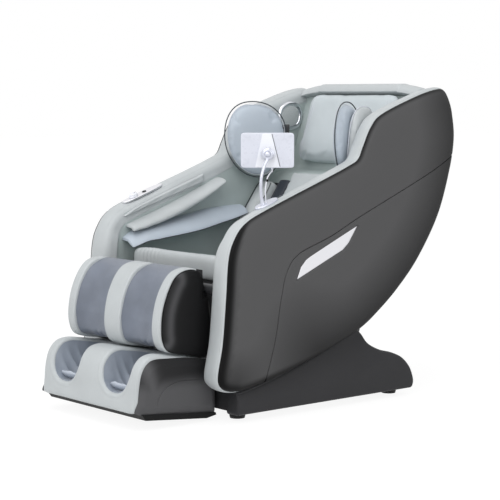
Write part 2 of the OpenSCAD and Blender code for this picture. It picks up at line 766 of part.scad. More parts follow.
// ---- massage gear behind the back ----
rail_x0 = 135;
rail_x1 = 165;
carriage_s = 70;
carriage_len = 64;
// Travel of the carriage below its resting place
roller_down = 15;
slot_gap = 11;
slot_s0 = carriage_s - roller_down - knead_r - slot_gap;
slot_s1 = carriage_s + roller_travel + knead_r + slot_gap;
guide_r = rail_d / 2 - rail_wall - 2 * run_gap;
knead_y = knead_r + 3;

module roller_rails() {
    line = concat([for (i = [8:len(pan_seat) - 1]) pan_seat[i]], [back_high]);
    color("silver") both_sides() difference() {
        slab(rail_x0, rail_x1, ribbon(line, -pan_t, -pan_t - rail_d));
        slab(rail_x0 - eps, rail_x1 - rail_wall,
            ribbon(line, -pan_t - rail_wall, -pan_t - rail_d + rail_wall));
    }
}

module roller_carriage() {
    mid = pan_t + rail_d / 2;
    color([0.4, 0.42, 0.45]) on_back(carriage_s) difference() {
        union() {
            box([-rail_x0 + 4, knead_y + knead_r + 3, -carriage_len / 2],
                [rail_x0 - 4, knead_y + knead_r + 21, carriage_len / 2]);
            box([-50, knead_y + knead_r + 20, -carriage_len / 2],
                [50, knead_y + knead_r + 50, carriage_len / 2]);
            both_sides() {
                box([rail_x0 - 16, pan_t + 4, -18], [rail_x0 - 4, knead_y + knead_r + 4, 18]);
                for (z = [-1, 1]) {
                    box([rail_x0 - 16, mid - 6, z * (carriage_len / 2 - 9) - 9],
                        [rail_x0 - 4, knead_y + knead_r + 4, z * (carriage_len / 2 - 9) + 9]);
                    translate([rail_x0 - 5, mid, z * (carriage_len / 2 - 9)]) rotate([0, 90, 0])
                        cylinder(r = guide_r, h = rail_x1 - rail_wall - rail_x0 + 4);
                }
            }
        }
        translate([-rail_x0, knead_y, 0]) rotate([0, 90, 0]) cylinder(r = knead_shaft_r + run_gap,
            h = 2 * rail_x0);
    }
}

module kneading_wheels() {
    color([0.5, 0.45, 0.4]) on_back(carriage_s) translate([0, knead_y, 0]) rotate([0, 90, 0]) {
        translate([0, 0, -rail_x0 + 6]) cylinder(r = knead_shaft_r, h = 2 * rail_x0 - 12);
        for (x = [-92, -48, 48, 92])
            translate([0, 0, x - knead_w / 2]) {
                cylinder(r = knead_r, h = knead_w);
                translate([0, 0, -4]) cylinder(r = knead_shaft_r + 5, h = knead_w + 8);
            }
    }
}

// ---- speakers on the side walls beside the head ----
speaker_at = [shoulder_y + 319, T - 105];
speaker_line = closed_curve([[-62, -18], [-40, -50], [0, -56], [44, -40], [60, 4], [40, 44], [-8, 54],
    [-52, 30]], 3);

module speakers() {
    line = [for (p = speaker_line) p + speaker_at];
    both_sides() {
        color("gainsboro") difference() {
            slab(wall_x - 9, wall_x, line);
            slab(wall_x - 9 - eps, wall_x + eps, inset(line, 11));
        }
        color([0.6, 0.63, 0.66]) slab(wall_x - 5, wall_x, inset(line, 11));
    }
}

// ---- shoulder pads ----
wing_mid = [250, 275, 905];
wing_w = 236;
wing_h = 280;
wing_pin = [wing_mid[0] - sin(wing_turn) * wing_w / 2 + 8, wing_mid[1] + cos(wing_turn) * wing_w / 2 + 14];
wing_line = [for (j = [0:23]) let(a = 15 * j, v = sin(a))
    [wing_w / 2 * spow(cos(a), 0.9) * (1 + 0.12 * v) - 12 * v * v * v, wing_h / 2 * v]];
knuckle_r = 9;
knuckle_h = 29;
// Half the height of the fixed knuckle, with the clearance over it
knuckle_half = 26;

// Local frame of the left pad: +X runs rearwards along the pad, +Z points at the sitter
module on_wing() {
    translate(wing_mid) rotate([0, 0, 90 + wing_turn]) rotate([90, 0, 0]) children();
}

module wing_one() {
    on_wing() pillow(wing_line, wing_t, 7);
    for (z = [wing_mid[2] - knuckle_half - knuckle_h, wing_mid[2] + knuckle_half])
        translate([wing_pin[0], wing_pin[1], z]) {
            cylinder(r = knuckle_r, h = knuckle_h);
            translate([0, 0, 2]) rotate([0, 0, wing_turn - 90]) translate([0, -3, 0]) cube([34, 8,
                knuckle_h - 4]);
        }
    translate([wing_pin[0], wing_pin[1], wing_mid[2] - knuckle_half - 5])
        cylinder(r = wing_pin_r, h = 2 * knuckle_half + 10);
}

module wing_left() {
    color([0.66, 0.7, 0.73]) wing_one();
}

module wing_right() {
    color([0.66, 0.7, 0.73]) mirror([1, 0, 0]) wing_one();
}

module wing_brackets() {
    y = wing_pin[1];
    mid_z = wing_mid[2];
    half = knuckle_half - body_gap;
    color([0.3, 0.31, 0.33]) both_sides() difference() {
        union() {
            box([wing_pin[0], y - 4, mid_z - half], [wall_x, y + 4, mid_z + half]);
            box([wall_x - 6, y - 4, mid_z - half - 10], [wall_x, y + 44, mid_z + half + 10]);
            translate([wing_pin[0], y, mid_z - half]) cylinder(r = knuckle_r, h = 2 * half);
        }
        translate([wing_pin[0], y, mid_z - half - eps]) cylinder(r = wing_pin_r + run_gap,
            h = 2 * (half + eps));
    }
}

airbag_t = 36;
airbag_seat = 27;

module shoulder_airbags() {
    color([0.72, 0.75, 0.75]) both_sides()
        translate([wall_x - airbag_seat, 306, 918]) rotate([0, 0, 90 + wing_turn / 2]) rotate([90, 0, 0])
        pillow([for (p = round_box(146, 222, 16, 0.75)) [p[0] + 0.16 * p[1], p[1]]], airbag_t, 5);
}

// ---- controls on the sitter's right arm ----
control_len = 180;
// Places along the arm of the plate's frame, and of its middle in that frame
control_along = 20;
control_mid = 18;
control_w = 46;
control_t = 7;
knob_y = -22;
button_y = 28;
button_r = 8;
button_h = 6;

module on_control() {
    on_arm(-control_x, control_along, control_mid - control_len / 2, control_mid + control_len / 2)
        children();
}

module control_plate() {
    color([0.82, 0.83, 0.86]) on_control() difference() {
        linear_extrude(control_t)
            polygon([for (p = round_box(control_w, control_len, 40, 0.7)) p + [0, control_mid]]);
        translate([0, knob_y, 2]) cylinder(r = 5 + run_gap, h = control_t);
        translate([0, button_y, 2]) cylinder(r = button_r + run_gap, h = control_t);
    }
}

module control_knob() {
    color([0.88, 0.88, 0.9]) on_control() translate([0, knob_y, 0]) {
        translate([0, 0, control_t + 0.2]) cylinder(r = knob_r, h = knob_h);
        translate([0, 0, 2.3]) cylinder(r = 5, h = control_t);
    }
}

module control_button() {
    color([0.1, 0.1, 0.12]) on_control()
        translate([0, button_y, 2 + button_travel + 0.3]) cylinder(r = button_r, h = button_h);
}

// ---- tablet holder on the sitter's left arm ----
tablet_x = panel_x - 39;
tablet_along = 34;
tablet_foot = 96;
stalk_foot = arm_a + 18 * arm_dir;
stalk_bends = [[0, 1], [-7, 33], [-9, 68], [-5, 101], [6, 131], [17, 149], [20, 162]];
stalk_line = [for (p = stalk_bends) stalk_foot + p];
ball_at = stalk_foot + [20, 169];
ball_r = 11;
tablet_az = 50;
// Height of the tablet's middle over its ball
tablet_lift = 12;

// Tube along an open line in space, with m sides and the radius r
module line_tube(line, r, m) {
    n = len(line);
    loft([for (i = [0:n - 1])
        let(run = unit(line[min(i + 1, n - 1)] - line[max(i - 1, 0)]), out = unit(cross(run, [1, 0, 0])),
            side = cross(out, run))
        [for (j = [0:m - 1]) let(a = 360 * j / m) line[i] + r * (cos(a) * side + sin(a) * out)]]);
}

module tablet_stand() {
    color([0.85, 0.86, 0.9]) union() {
        on_arm(tablet_x, tablet_along, -tablet_foot / 2, tablet_foot / 2)
            linear_extrude(8) polygon(round_box(46, tablet_foot, 40, 0.9));
        line_tube(open_curve([for (p = stalk_line) [tablet_x, each p]], 3), stalk_r, 12);
        difference() {
            translate([tablet_x, ball_at[0], ball_at[1]]) sphere(r = ball_r);
            translate([tablet_x, ball_at[0], ball_at[1]]) rotate([0, 0, tablet_az]) translate([-20, 7,
                -20]) cube(40);
        }
    }
}

// Charging cable, from the base plate to the lower edge of the tablet
cable_r = 2;
// Room under the tablet for its tilt
cable_gap = 4.4;
cable_plug = [tablet_x - 13.4, ball_at[0] + 31, ball_at[1] + tablet_lift - tablet_h / 2 - cable_gap];

module tablet_cable() {
    points = [[tablet_x + 4, -186, 717.7], [tablet_x + 5, -190, 745], [tablet_x + 4, -187, 775],
        [tablet_x, -176, 800], [tablet_x - 8, -157, 814], cable_plug - [0, 0, 7], cable_plug];
    color([0.9, 0.9, 0.92]) line_tube(open_curve(points, 3), cable_r, 8);
}

// Clamp ring that turns on the ball, with the tilt pin across it
joint_gap = 0.06;

module tablet_joint() {
    color([0.8, 0.81, 0.84]) translate([tablet_x, ball_at[0], ball_at[1]])
        rotate([0, 0, tablet_az]) difference() {
        union() {
            translate([0, 7.5, 0]) rotate([-90, 0, 0]) cylinder(r = 17, h = 10);
            rotate([-90, 0, 0]) translate([0, 0, -6]) cylinder(r = 17, h = 14);
            translate([-24, 17, 0]) rotate([0, 90, 0]) cylinder(r = 4, h = 48);
        }
        sphere(r = ball_r + joint_gap);
        rotate([90, 0, 0]) cylinder(r = ball_r * 0.86, h = 2 * ball_r);
        translate([0, 0, -2 * ball_r]) cylinder(r = stalk_r + 4, h = 2 * ball_r);
    }
}

module tablet() {
    color([0.9, 0.9, 0.94]) translate([tablet_x, ball_at[0], ball_at[1]])
        rotate([0, 0, tablet_az]) difference() {
        union() {
            translate([0, 24 + tablet_t / 2, tablet_lift]) rotate([90, 0, 0])
                linear_extrude(tablet_t, center = true)
                polygon(round_box(tablet_w, tablet_h, 40, 0.16));
            for (x = [-24, 18])
                translate([x, 11, -6]) cube([6, 15, 12]);
        }
        translate([-40, 17, 0]) rotate([0, 90, 0]) cylinder(r = 4 + run_gap, h = 80);
    }
}

// ================= leg rest =================
lean = [-0.0927, -1];
function rail_point(z) = [leg_at[0] - 18 + lean[0] * (420 - z), z];
slide_x = 28;
sleeve_r = 13;
sleeve_low = 254;
sleeve_high = 400;
// Length of slide rod that stays in its sleeve at full travel
rail_hold = 48;
calf_back_y = leg_at[0] - 48;
calf_front = -565;
calf_points = [[calf_back_y, 234], [-464, 241], [-520, 250], [-548, 264], [-562, 292], [calf_front, 330],
    [-557, 384], [-541, 431], [-515, 475], [-484, 502], [-440, 512], [calf_back_y, 506]];
calf_line = concat(open_curve(calf_points, 3), [[calf_back_y, 240]]);
calf_mid = [-470, 370];

// A ridge: the calf outline from x0 to x1, rounded off at its sides
module ridge(x0, x1) {
    ends = [[0, 0.955], [0.12, 0.985], [0.3, 1], [0.7, 1], [0.88, 0.985], [1, 0.955]];
    front_line = open_curve(calf_points, 2);
    loft([for (e = ends) [for (p = front_line)
        let(q = lerp(calf_mid, p, e[1])) [lerp(x0, x1, e[0]), min(q[0], calf_back_y), q[1]]]]);
}

module calf_ridges() {
    color([0.74, 0.76, 0.76]) {
        ridge(-ridge_mid_half, ridge_mid_half);
        both_sides() ridge(calf_half - ridge_w, calf_half);
    }
}

// Fabric gutter between two ridges: the calf line, sunk by a round trough
well_x0 = ridge_mid_half + soft_gap;
well_x1 = calf_half - ridge_w - soft_gap;
well_set = 6;
calf_well_line = open_curve([[-425, 244], [-500, 250], [-546, 270], [-561, 330], [-552, 384], [-534, 434],
    [-505, 474], [-470, 496], [-425, 503]], 2);

module calf_liners() {
    n = len(calf_well_line);
    across = 8;
    out = beside(calf_well_line, 1);
    color([0.45, 0.48, 0.54]) both_sides() loft([for (i = [0:n - 1])
        let(s = i / (n - 1), normal = unit(out[i] - calf_well_line[i]),
            deep = calf_well_d * pow(sin(180 * lerp(0.03, 0.97, s)), 0.7))
        concat(
            [for (j = [0:across]) let(u = 2 * j / across - 1, d = well_set + deep * (1 - pow(abs(u), 2.4)),
                p = calf_well_line[i] - normal * d) [lerp(well_x0, well_x1, j / across), p[0], p[1]]],
            [for (j = [across:-1:0]) let(u = 2 * j / across - 1,
                d = well_set + liner_t + deep * (1 - pow(abs(u), 2.4)),
                p = calf_well_line[i] - normal * d) [lerp(well_x0, well_x1, j / across), p[0], p[1]]])],
        band = true);
}

module calf_pods() {
    ends = [[0, 0.9], [0.35, 0.88], [0.7, 0.83], [1, 0.68]];
    line = open_curve([[calf_back_y + 52, 236], [-464, 243], [-524, 254], [-548, 285], [-552, 330],
        [-545, 384], [-524, 440], [-496, 484], [-455, 503], [-412, 500], [-387, 474], [-385, 440],
        [-383, 412],
        [calf_back_y + 46, 396]], 2);
    mid = [-440, 368];
    color([0.1, 0.1, 0.11]) both_sides() loft([for (e = ends)
        [for (p = line) [calf_half + soft_gap + pod_t * e[0], each lerp(mid, p, e[1] + 0.1)]]]);
}

tray_t = 4;
tray_back = leg_at[0] + 15;

module calf_shell() {
    w = calf_half;
    color([0.14, 0.14, 0.15]) difference() {
        slab(-w, w, [[calf_back_y, 234], [tray_back, 226], [tray_back, 425], [tray_back - 30, 500],
            [calf_back_y, 506]]);
        slab(-w + tray_t, w - tray_t, [[calf_back_y - eps, 238], [tray_back - tray_t, 231],
            [tray_back - tray_t, 440],
            [tray_back - 30 - tray_t, 496], [calf_back_y - eps, 502]]);
        // room for the tube on the leg shaft, the slide rods and the actuator
        box([-w - eps, leg_at[0] - 24, leg_at[1] - 26], [w + eps, tray_back + eps, leg_at[1] + 100]);
        box([-slide_x - 20, leg_at[0] - 60, 220], [slide_x + 20, leg_at[0] - 10, 240]);
        box([-24, tray_back - 20, 236], [24, tray_back + eps, leg_at[1]]);
    }
}

side_bar_x = calf_half - 20;

module legrest_frame() {
    color([0.32, 0.33, 0.35]) difference() {
        union() {
            cross_bar(-frame_x + body_gap, frame_x - body_gap, leg_at, leg_tube_r);
            both_sides() slab(side_bar_x - 14, side_bar_x, [[leg_at[0] - 10, leg_at[1] + 4],
                [calf_back_y + 6, leg_at[1] - 30], [calf_back_y + 4, 246], [calf_back_y + 36, 246],
                [leg_at[0] + 8, leg_at[1] - 26], [leg_at[0] + 13, leg_at[1] - 2]]);
            cross_bar(-side_bar_x + 2, side_bar_x - 2, leg_bar, leg_bar_r);
            for (z = [sleeve_low + 8, sleeve_high - 4]) {
                p = rail_point(z);
                box([-side_bar_x + 2, p[0] - 10, z - 8], [side_bar_x - 2, calf_back_y + 36, z]);
            }
            both_sides() sleeve(sleeve_low, sleeve_high, sleeve_r);
        }
        cross_bar(-frame_x, frame_x, leg_at, leg_shaft_r + run_gap);
        both_sides() sleeve(sleeve_low - 14, sleeve_high + 30, slide_rod_r + run_gap);
        box([-14, leg_bar[0] + leg_bar_r - 30, sleeve_low + 8],
            [14, leg_bar[0] + 60, leg_bar[1] - leg_bar_r - 24]);
    }
}

// Round column in the leaning line of the slide, between two heights
module sleeve(z0, z1, r) {
    p = rail_point(z0);
    translate([slide_x, p[0], z0]) rotate([-atan2(-lean[0], 1), 0, 0]) cylinder(r = r,
        h = (z1 - z0) / cos(5.3));
}

// ---- foot box ----
foot_half = 281;
foot_cover_half = foot_half - pod_t - soft_gap;
foot_front = -668;
foot_back = -340;
foot_floor_a = [-652, 56];
foot_floor_b = [foot_back, 27];
foot_line = concat([foot_floor_b, [foot_back - 4, 203]], open_curve([[-390, 212], [-470, 226], [-540, 238],
    [-582, 242], [-618, 232], [-646, 200], [-660, 150], [foot_front, 66]], 3),
        [[foot_front + 6, 58], foot_floor_a]);
well_low = 66;
rod_low = 80;
well_high = 222;
pocket_line = [[-720, 300], [-720, 150], [foot_front + 6, 116], [-640, 84], [-610, 74], [-450, 62],
    [-432, 68], [-427, 86], [-424, 110], [-424, 300]];

module foot_cover() {
    color([0.74, 0.76, 0.76]) difference() {
        slab(-foot_cover_half, foot_cover_half, foot_line);
        both_sides() slab(well_low, well_high, pocket_line);
        both_sides() sleeve(rod_low, 260, slide_rod_r);
    }
}

// Fabric cup in a pocket: thin over the floor and thicker up its side walls
function cup_line(d) = open_curve([[-425 - d, 216], [-426 - d, 110], [-440 - d, 72 + d], [-520, 68.5 + d],
    [-608, 75 + d], [-636, 86 + d], [-654, 106 + d]], 2);

module foot_liners() {
    across = 8;
    outer = cup_line(soft_gap);
    color([0.5, 0.53, 0.58]) both_sides() loft([for (j = [0:across])
        let(u = 2 * j / across - 1, d = liner_t + 30 * pow(abs(u), 3), inner = cup_line(soft_gap + d * 0.9))
        [for (p = concat(outer, reversed(inner)))
            [lerp(well_low + soft_gap, well_high - soft_gap, j / across), p[0], p[1]]]], band = true);
}

module foot_sides() {
    ends = [[0, 1], [0.6, 0.99], [1, 0.94]];
    mid = [-500, 130];
    color([0.11, 0.11, 0.12]) both_sides() loft([for (e = ends) [for (p = foot_line)
        [foot_cover_half + soft_gap + pod_t * e[0], each lerp(mid, p, e[1])]]]);
}

module foot_sole() {
    color([0.15, 0.15, 0.16]) slab(-foot_half + 6, foot_half - 6, [[-642, 55], foot_floor_b,
        foot_floor_b - [-2, 8], [-378, 12], [-626, 35]]);
}

module foot_rails() {
    color("silver") both_sides() sleeve(rod_low, sleeve_low + foot_travel + rail_hold, slide_rod_r);
}

base_frame();
base_cover();  // base_cover_left
mirror([1, 0, 0]) base_cover();  // base_cover_right
base_front_cover();
rubber_feet();
power_box();
power_inlet();
power_switch();
tilt_motor();
tilt_rod();
pivot_shafts();
seat_frame();
seat_pan();
side_panel();  // side_panel_left
mirror([1, 0, 0]) side_panel();  // side_panel_right
side_strip();  // side_strip_left
mirror([1, 0, 0]) side_strip();  // side_strip_right
side_plates();
side_trim();  // side_trim_left
mirror([1, 0, 0]) side_trim();  // side_trim_right
inner_wall();  // inner_wall_left
mirror([1, 0, 0]) inner_wall();  // inner_wall_right
armrest_pads();
arm_channel_upper();
arm_channel_lower();
seat_cushion();
seat_front_roll();
back_pad();
back_strips();
back_bolsters();
head_cushion();
hood();
back_shell();
roller_rails();
roller_carriage();
kneading_wheels();
speakers();
shoulder_airbags();
wing_brackets();
wing_left();
wing_right();
control_plate();
control_knob();
control_button();
tablet_stand();
tablet_cable();
tablet_joint();
tablet();
legrest_frame();
calf_shell();
calf_ridges();
calf_liners();
calf_pods();
leg_motor();
leg_rod();
foot_cover();
foot_liners();
foot_sides();
foot_sole();
foot_rails();
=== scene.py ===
import json
import math

import bmesh
import bpy
import numpy as np
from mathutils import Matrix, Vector
from mathutils.geometry import delaunay_2d_cdt


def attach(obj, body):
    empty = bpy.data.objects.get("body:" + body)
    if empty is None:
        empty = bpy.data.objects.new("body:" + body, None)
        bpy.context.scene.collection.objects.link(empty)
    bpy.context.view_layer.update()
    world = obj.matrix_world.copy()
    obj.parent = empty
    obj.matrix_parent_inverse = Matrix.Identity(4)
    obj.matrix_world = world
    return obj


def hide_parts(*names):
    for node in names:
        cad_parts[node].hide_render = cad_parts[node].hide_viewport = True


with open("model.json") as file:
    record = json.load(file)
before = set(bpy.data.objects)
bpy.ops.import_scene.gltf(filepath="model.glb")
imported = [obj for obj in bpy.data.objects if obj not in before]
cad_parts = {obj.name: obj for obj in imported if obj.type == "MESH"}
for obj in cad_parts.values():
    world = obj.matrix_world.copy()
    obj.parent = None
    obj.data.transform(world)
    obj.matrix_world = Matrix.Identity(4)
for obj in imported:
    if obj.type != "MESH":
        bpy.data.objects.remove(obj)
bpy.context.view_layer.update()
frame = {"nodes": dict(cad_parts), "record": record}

scene = bpy.context.scene
MM = 0.001

# Edges of the side panels, and the planes across the chair from the outside inwards
FRONT, REAR, BOTTOM, TOP = -423.0, 668.0, 110.0, 1095.0
ARM_H, SHOULDER_H, SHOULDER_Y = 657.0, 836.0, 182.0
PANEL_X, WALL_X = 384.0, 312.0


# ---------------------------------------------------------------- lines
def curve(points, steps, closed=False):
    """Catmull-Rom line: on each span, half of the cubic blend of its four neighbours."""
    p = np.asarray(points, float)
    n = len(p)
    i = np.arange(n if closed else n - 1)
    pick = (lambda k: p[k % n]) if closed else (lambda k: p[np.clip(k, 0, n - 1)])
    a, b, c, d = pick(i - 1), pick(i), pick(i + 1), pick(i + 2)
    t = (np.arange(steps) / steps)[:, None, None]
    out = 0.5 * (2 * b + (c - a) * t + (2 * a - 5 * b + 4 * c - d) * t**2
                 + (3 * b - a - 3 * c + d) * t**3)
    out = out.transpose(1, 0, 2).reshape(-1, p.shape[1])
    return out if closed else np.vstack([out, p[-1]])


def even(line, count, closed=False):
    """The same line with its points at equal steps of its length."""
    p = np.vstack([line, line[:1]]) if closed else line
    s = np.r_[0, np.cumsum(np.linalg.norm(np.diff(p, axis=0), axis=1))]
    at = np.linspace(0, s[-1], count + 1)[:-1] if closed else np.linspace(0, s[-1], count)
    return np.stack([np.interp(at, s, p[:, k]) for k in range(p.shape[1])], 1)


def leftward(line, closed=False):
    """Unit normals to the left of a line in Y and Z: its direction turned by a quarter."""
    if closed:
        d = np.roll(line, -1, 0) - np.roll(line, 1, 0)
    else:
        d = np.gradient(line, axis=0)
    n = np.stack([-d[:, 1], d[:, 0]], 1)
    return n / np.linalg.norm(n, axis=1, keepdims=True)


def loop(line):
    return np.vstack([line, line[:1]])


def straight(corners, count):
    """Closed line with straight sides, each with the same number of points."""
    sides = zip(corners, np.roll(corners, -1, 0))
    return np.vstack([np.linspace(a, b, count, endpoint=False) for a, b in sides])


def away(points, line):
    """Least distance from each point to a chain of straight segments."""
    a, ab = line[:-1], np.diff(line, axis=0)
    t = np.clip(((points[:, None] - a) * ab).sum(-1) / (ab**2).sum(-1), 0, 1)
    return np.sqrt(((a + t[..., None] * ab - points[:, None]) ** 2).sum(-1)).min(1)


def inside(points, outline):
    """Even-odd count of the outline's edges that lie across each point's level."""
    a, b = outline, np.roll(outline, -1, 0)
    y, z = points[:, :1], points[:, 1:]
    across = (a[:, 1] > z) != (b[:, 1] > z)
    rise = np.where(a[:, 1] == b[:, 1], 1.0, b[:, 1] - a[:, 1])
    return (across & (y < a[:, 0] + (z - a[:, 1]) * (b[:, 0] - a[:, 0]) / rise)).sum(1) % 2 == 1


def power(v, e):
    return np.sign(v) * np.abs(v) ** e


def rounding(d, r, e=2.2):
    """Quarter of a superellipse: 0 at the rim, 1 from the depth r inwards."""
    return (1 - (1 - np.clip(d / r, 0, 1)) ** e) ** (1 / e)


def smooth(t):
    t = np.clip(t, 0, 1)
    return t * t * (3 - 2 * t)


def bump(t, centre, width):
    """Bell of height 1 round the centre."""
    return np.exp(-(((t - centre) / width) ** 2))


# ---------------------------------------------------------------- meshes
def tube(rings, caps=True):
    """Quads between neighbouring closed rings; each end closes on its ring's middle."""
    n, m = rings.shape[:2]
    i, j = np.arange(n - 1)[:, None] * m, np.arange(m)[None, :]
    k = (j + 1) % m
    quads = np.stack([i + j, i + k, i + m + k, i + m + j], -1).reshape(-1, 4).tolist()
    verts = rings.reshape(-1, 3)
    if caps:
        verts = np.vstack([verts, rings[0].mean(0), rings[-1].mean(0)])
        j, k, end = j[0], k[0], (n - 1) * m
        quads += np.stack([k, j, np.full(m, n * m)], 1).tolist()
        quads += np.stack([end + j, end + k, np.full(m, n * m + 1)], 1).tolist()
    return verts, quads


def at_x(x, flat):
    """Points in Y and Z, given their X."""
    return np.concatenate([np.broadcast_to(x, flat.shape[:-1] + (1,)), flat], -1)


def triangles(points, edges):
    """Delaunay triangles over points in a plane, with the given edges kept."""
    flat, _, faces = delaunay_2d_cdt([Vector(p) for p in points], edges, [], 1, 1e-5)[:3]
    return np.array([tuple(v) for v in flat]), np.array(faces)


def two_faced(front, back, faces):
    """Closed mesh: triangles on the front points, the same ones turned over on the back points, and
    quads between the two round their border."""
    pairs = np.vstack([faces[:, [0, 1]], faces[:, [1, 2]], faces[:, [2, 0]]])
    key, count = np.unique(np.sort(pairs, 1), axis=0, return_counts=True)
    border = {tuple(e) for e in key[count == 1].tolist()}
    rim = np.array([e for e in pairs.tolist() if tuple(sorted(e)) in border])
    total = len(front)
    sides = np.stack([rim[:, 0], rim[:, 0] + total, rim[:, 1] + total, rim[:, 1]], 1)
    return (np.vstack([front, back]),
            faces.tolist() + (faces[:, ::-1] + total).tolist() + sides.tolist())


def puck(outline, depths, step, height, back, marks=()):
    """Closed plate over a line in Y and Z. Its face has the line, copies of it drawn in by the depths,
    any marked lines, and a grid of points, all joined by Delaunay triangles, with each point at
    x = height(point). Its back is the same triangles turned over at x = back."""
    n = leftward(outline, True)
    rings = [outline] + [outline + d * n for d in depths] + list(marks)
    low, high = outline.min(0), outline.max(0)
    y, z = np.meshgrid(np.arange(low[0], high[0], step), np.arange(low[1], high[1], step))
    grid = np.stack([y.ravel() + (np.arange(y.size) // y.shape[1] % 2) * step / 2, z.ravel()], 1)
    grid = grid[inside(grid, outline)]
    grid = grid[away(grid, loop(outline)) > (depths[-1] if len(depths) else 0) + step * 0.4]
    for mark in marks:
        grid = grid[away(grid, loop(mark)) > step * 0.3]
    points = np.vstack(rings + [grid])
    m = len(outline)
    edges = np.stack([np.arange(m), (np.arange(m) + 1) % m], 1).tolist()
    flat, faces = triangles(points, edges)
    return two_faced(np.c_[height(flat), flat], np.c_[np.full(len(flat), float(back)), flat], faces)


def round_bar(path, radius, sides=8, closed=False):
    """Tube along a path: circles square to it, turned with the direction that the path keeps to
    least."""
    p = np.asarray(path, float)
    run = (np.roll(p, -1, 0) - np.roll(p, 1, 0)) if closed else np.gradient(p, axis=0)
    run /= np.linalg.norm(run, axis=1, keepdims=True)
    guide = np.linalg.svd(run, full_matrices=False)[2][-1]
    out = np.cross(run, guide)
    out /= np.linalg.norm(out, axis=1, keepdims=True)
    side = np.cross(run, out)
    a = np.linspace(0, 2 * np.pi, sides, endpoint=False)
    r = np.broadcast_to(np.asarray(radius, float).reshape(-1, 1, 1), (len(p), 1, 1))
    circle = np.cos(a)[None, :, None] * out[:, None] + np.sin(a)[None, :, None] * side[:, None]
    rings = p[:, None] + r * circle
    if closed:
        return tube(np.vstack([rings, rings[:1]]), caps=False)
    return tube(rings)


def stitches(path, normal, pitch=5.0, length=3.4, thick=0.5):
    """Sewn dashes along a path: each a slim six-sided spindle laid along it, a little proud of the
    surface whose normals are given."""
    s = np.r_[0, np.cumsum(np.linalg.norm(np.diff(path, axis=0), axis=1))]
    at = np.arange(pitch / 2, s[-1] - pitch / 2, pitch)
    here = lambda q: np.stack([np.interp(q, s, path[:, k]) for k in range(3)], 1)
    mid, run = here(at), here(at + 0.5) - here(at - 0.5)
    run /= np.linalg.norm(run, axis=1, keepdims=True)
    up = np.stack([np.interp(at, s, normal[:, k]) for k in range(3)], 1)
    up /= np.linalg.norm(up, axis=1, keepdims=True)
    side = np.cross(run, up)
    a = np.linspace(0, 2 * np.pi, 6, endpoint=False)
    ring = (np.cos(a)[None, :, None] * side[:, None] + np.sin(a)[None, :, None] * up[:, None]) * thick
    mid = mid + up * thick * 0.3
    part = np.stack([mid[:, None] - run[:, None] * length * 0.5 + ring * 0.35, mid[:, None] + ring,
                     mid[:, None] + run[:, None] * length * 0.5 + ring * 0.35], 1)
    n = len(at)
    verts = part.reshape(-1, 3)
    j = np.arange(6)
    k = (j + 1) % 6
    quads = np.vstack([np.stack([i * 6 + j, i * 6 + k, i * 6 + 6 + k, i * 6 + 6 + j], 1) for i in (0, 1)])
    faces = (quads[None] + 18 * np.arange(n)[:, None, None]).reshape(-1, 4).tolist()
    caps = np.array([[0, 1, 2, 3, 4, 5][::-1], [12, 13, 14, 15, 16, 17]])
    return verts, faces + (caps[None] + 18 * np.arange(n)[:, None, None]).reshape(-1, 6).tolist()


def points_of(mesh):
    flat = np.empty(len(mesh.vertices) * 3)
    mesh.vertices.foreach_get("co", flat)
    return flat.reshape(-1, 3)


def joined(*parts):
    """Several meshes as one list of points and faces."""
    verts, faces, count = [], [], 0
    for v, f in parts:
        verts.append(v)
        faces += [[i + count for i in face] for face in f]
        count += len(v)
    return np.vstack(verts), faces


def flipped(part):
    """Mirror image in the plane X = 0, with its faces turned back outwards."""
    v, f = part
    return v * [-1, 1, 1], [face[::-1] for face in f]


def piece(name, part, material, body, slot, nodes=(), soft=None, levels=0, flat=False):
    """A mesh object in metres that rides on a body and stands for CAD nodes. The material is one of
    FINISH by name, or any other by itself."""
    mesh = bpy.data.meshes.new(name)
    mesh.from_pydata((part[0] * MM).tolist(), [], part[1])
    work = bmesh.new()
    work.from_mesh(mesh)
    bmesh.ops.remove_doubles(work, verts=work.verts, dist=1e-6)
    bmesh.ops.recalc_face_normals(work, faces=work.faces)
    work.to_mesh(mesh)
    work.free()
    mesh.materials.append(FINISH[material] if isinstance(material, str) else material)
    mesh.polygons.foreach_set("use_smooth", [not flat] * len(mesh.polygons))
    thing = bpy.data.objects.new(name, mesh)
    scene.collection.objects.link(thing)
    if not flat:
        mesh.set_sharp_from_angle(angle=math.radians(50))
    if levels:
        more = thing.modifiers.new("finer", "SUBSURF")
        more.levels = more.render_levels = levels
    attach(thing, body)
    if nodes:
        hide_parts(*nodes)
    return thing


def pair(name, part, material, body, slot, nodes=(), **more):
    """A piece on the sitter's left and its mirror image on the right. Where body or nodes are two
    names, the first is the left one."""
    bodies = body if isinstance(body, tuple) else (body, body)
    left, right = nodes if len(nodes) == 2 and isinstance(nodes[0], tuple) else (nodes, nodes)
    return (piece(name + "_left", part, material, bodies[0], slot, left, **more),
            piece(name + "_right", flipped(part), material, bodies[1], slot, right, **more))


# ---------------------------------------------------------------- finishes
def tone(r, g, b):
    """Linear colour from the usual 0 to 255 values."""
    v = np.array([r, g, b]) / 255.0
    return tuple(np.where(v <= 0.04045, v / 12.92, ((v + 0.055) / 1.055) ** 2.4)) + (1.0,)


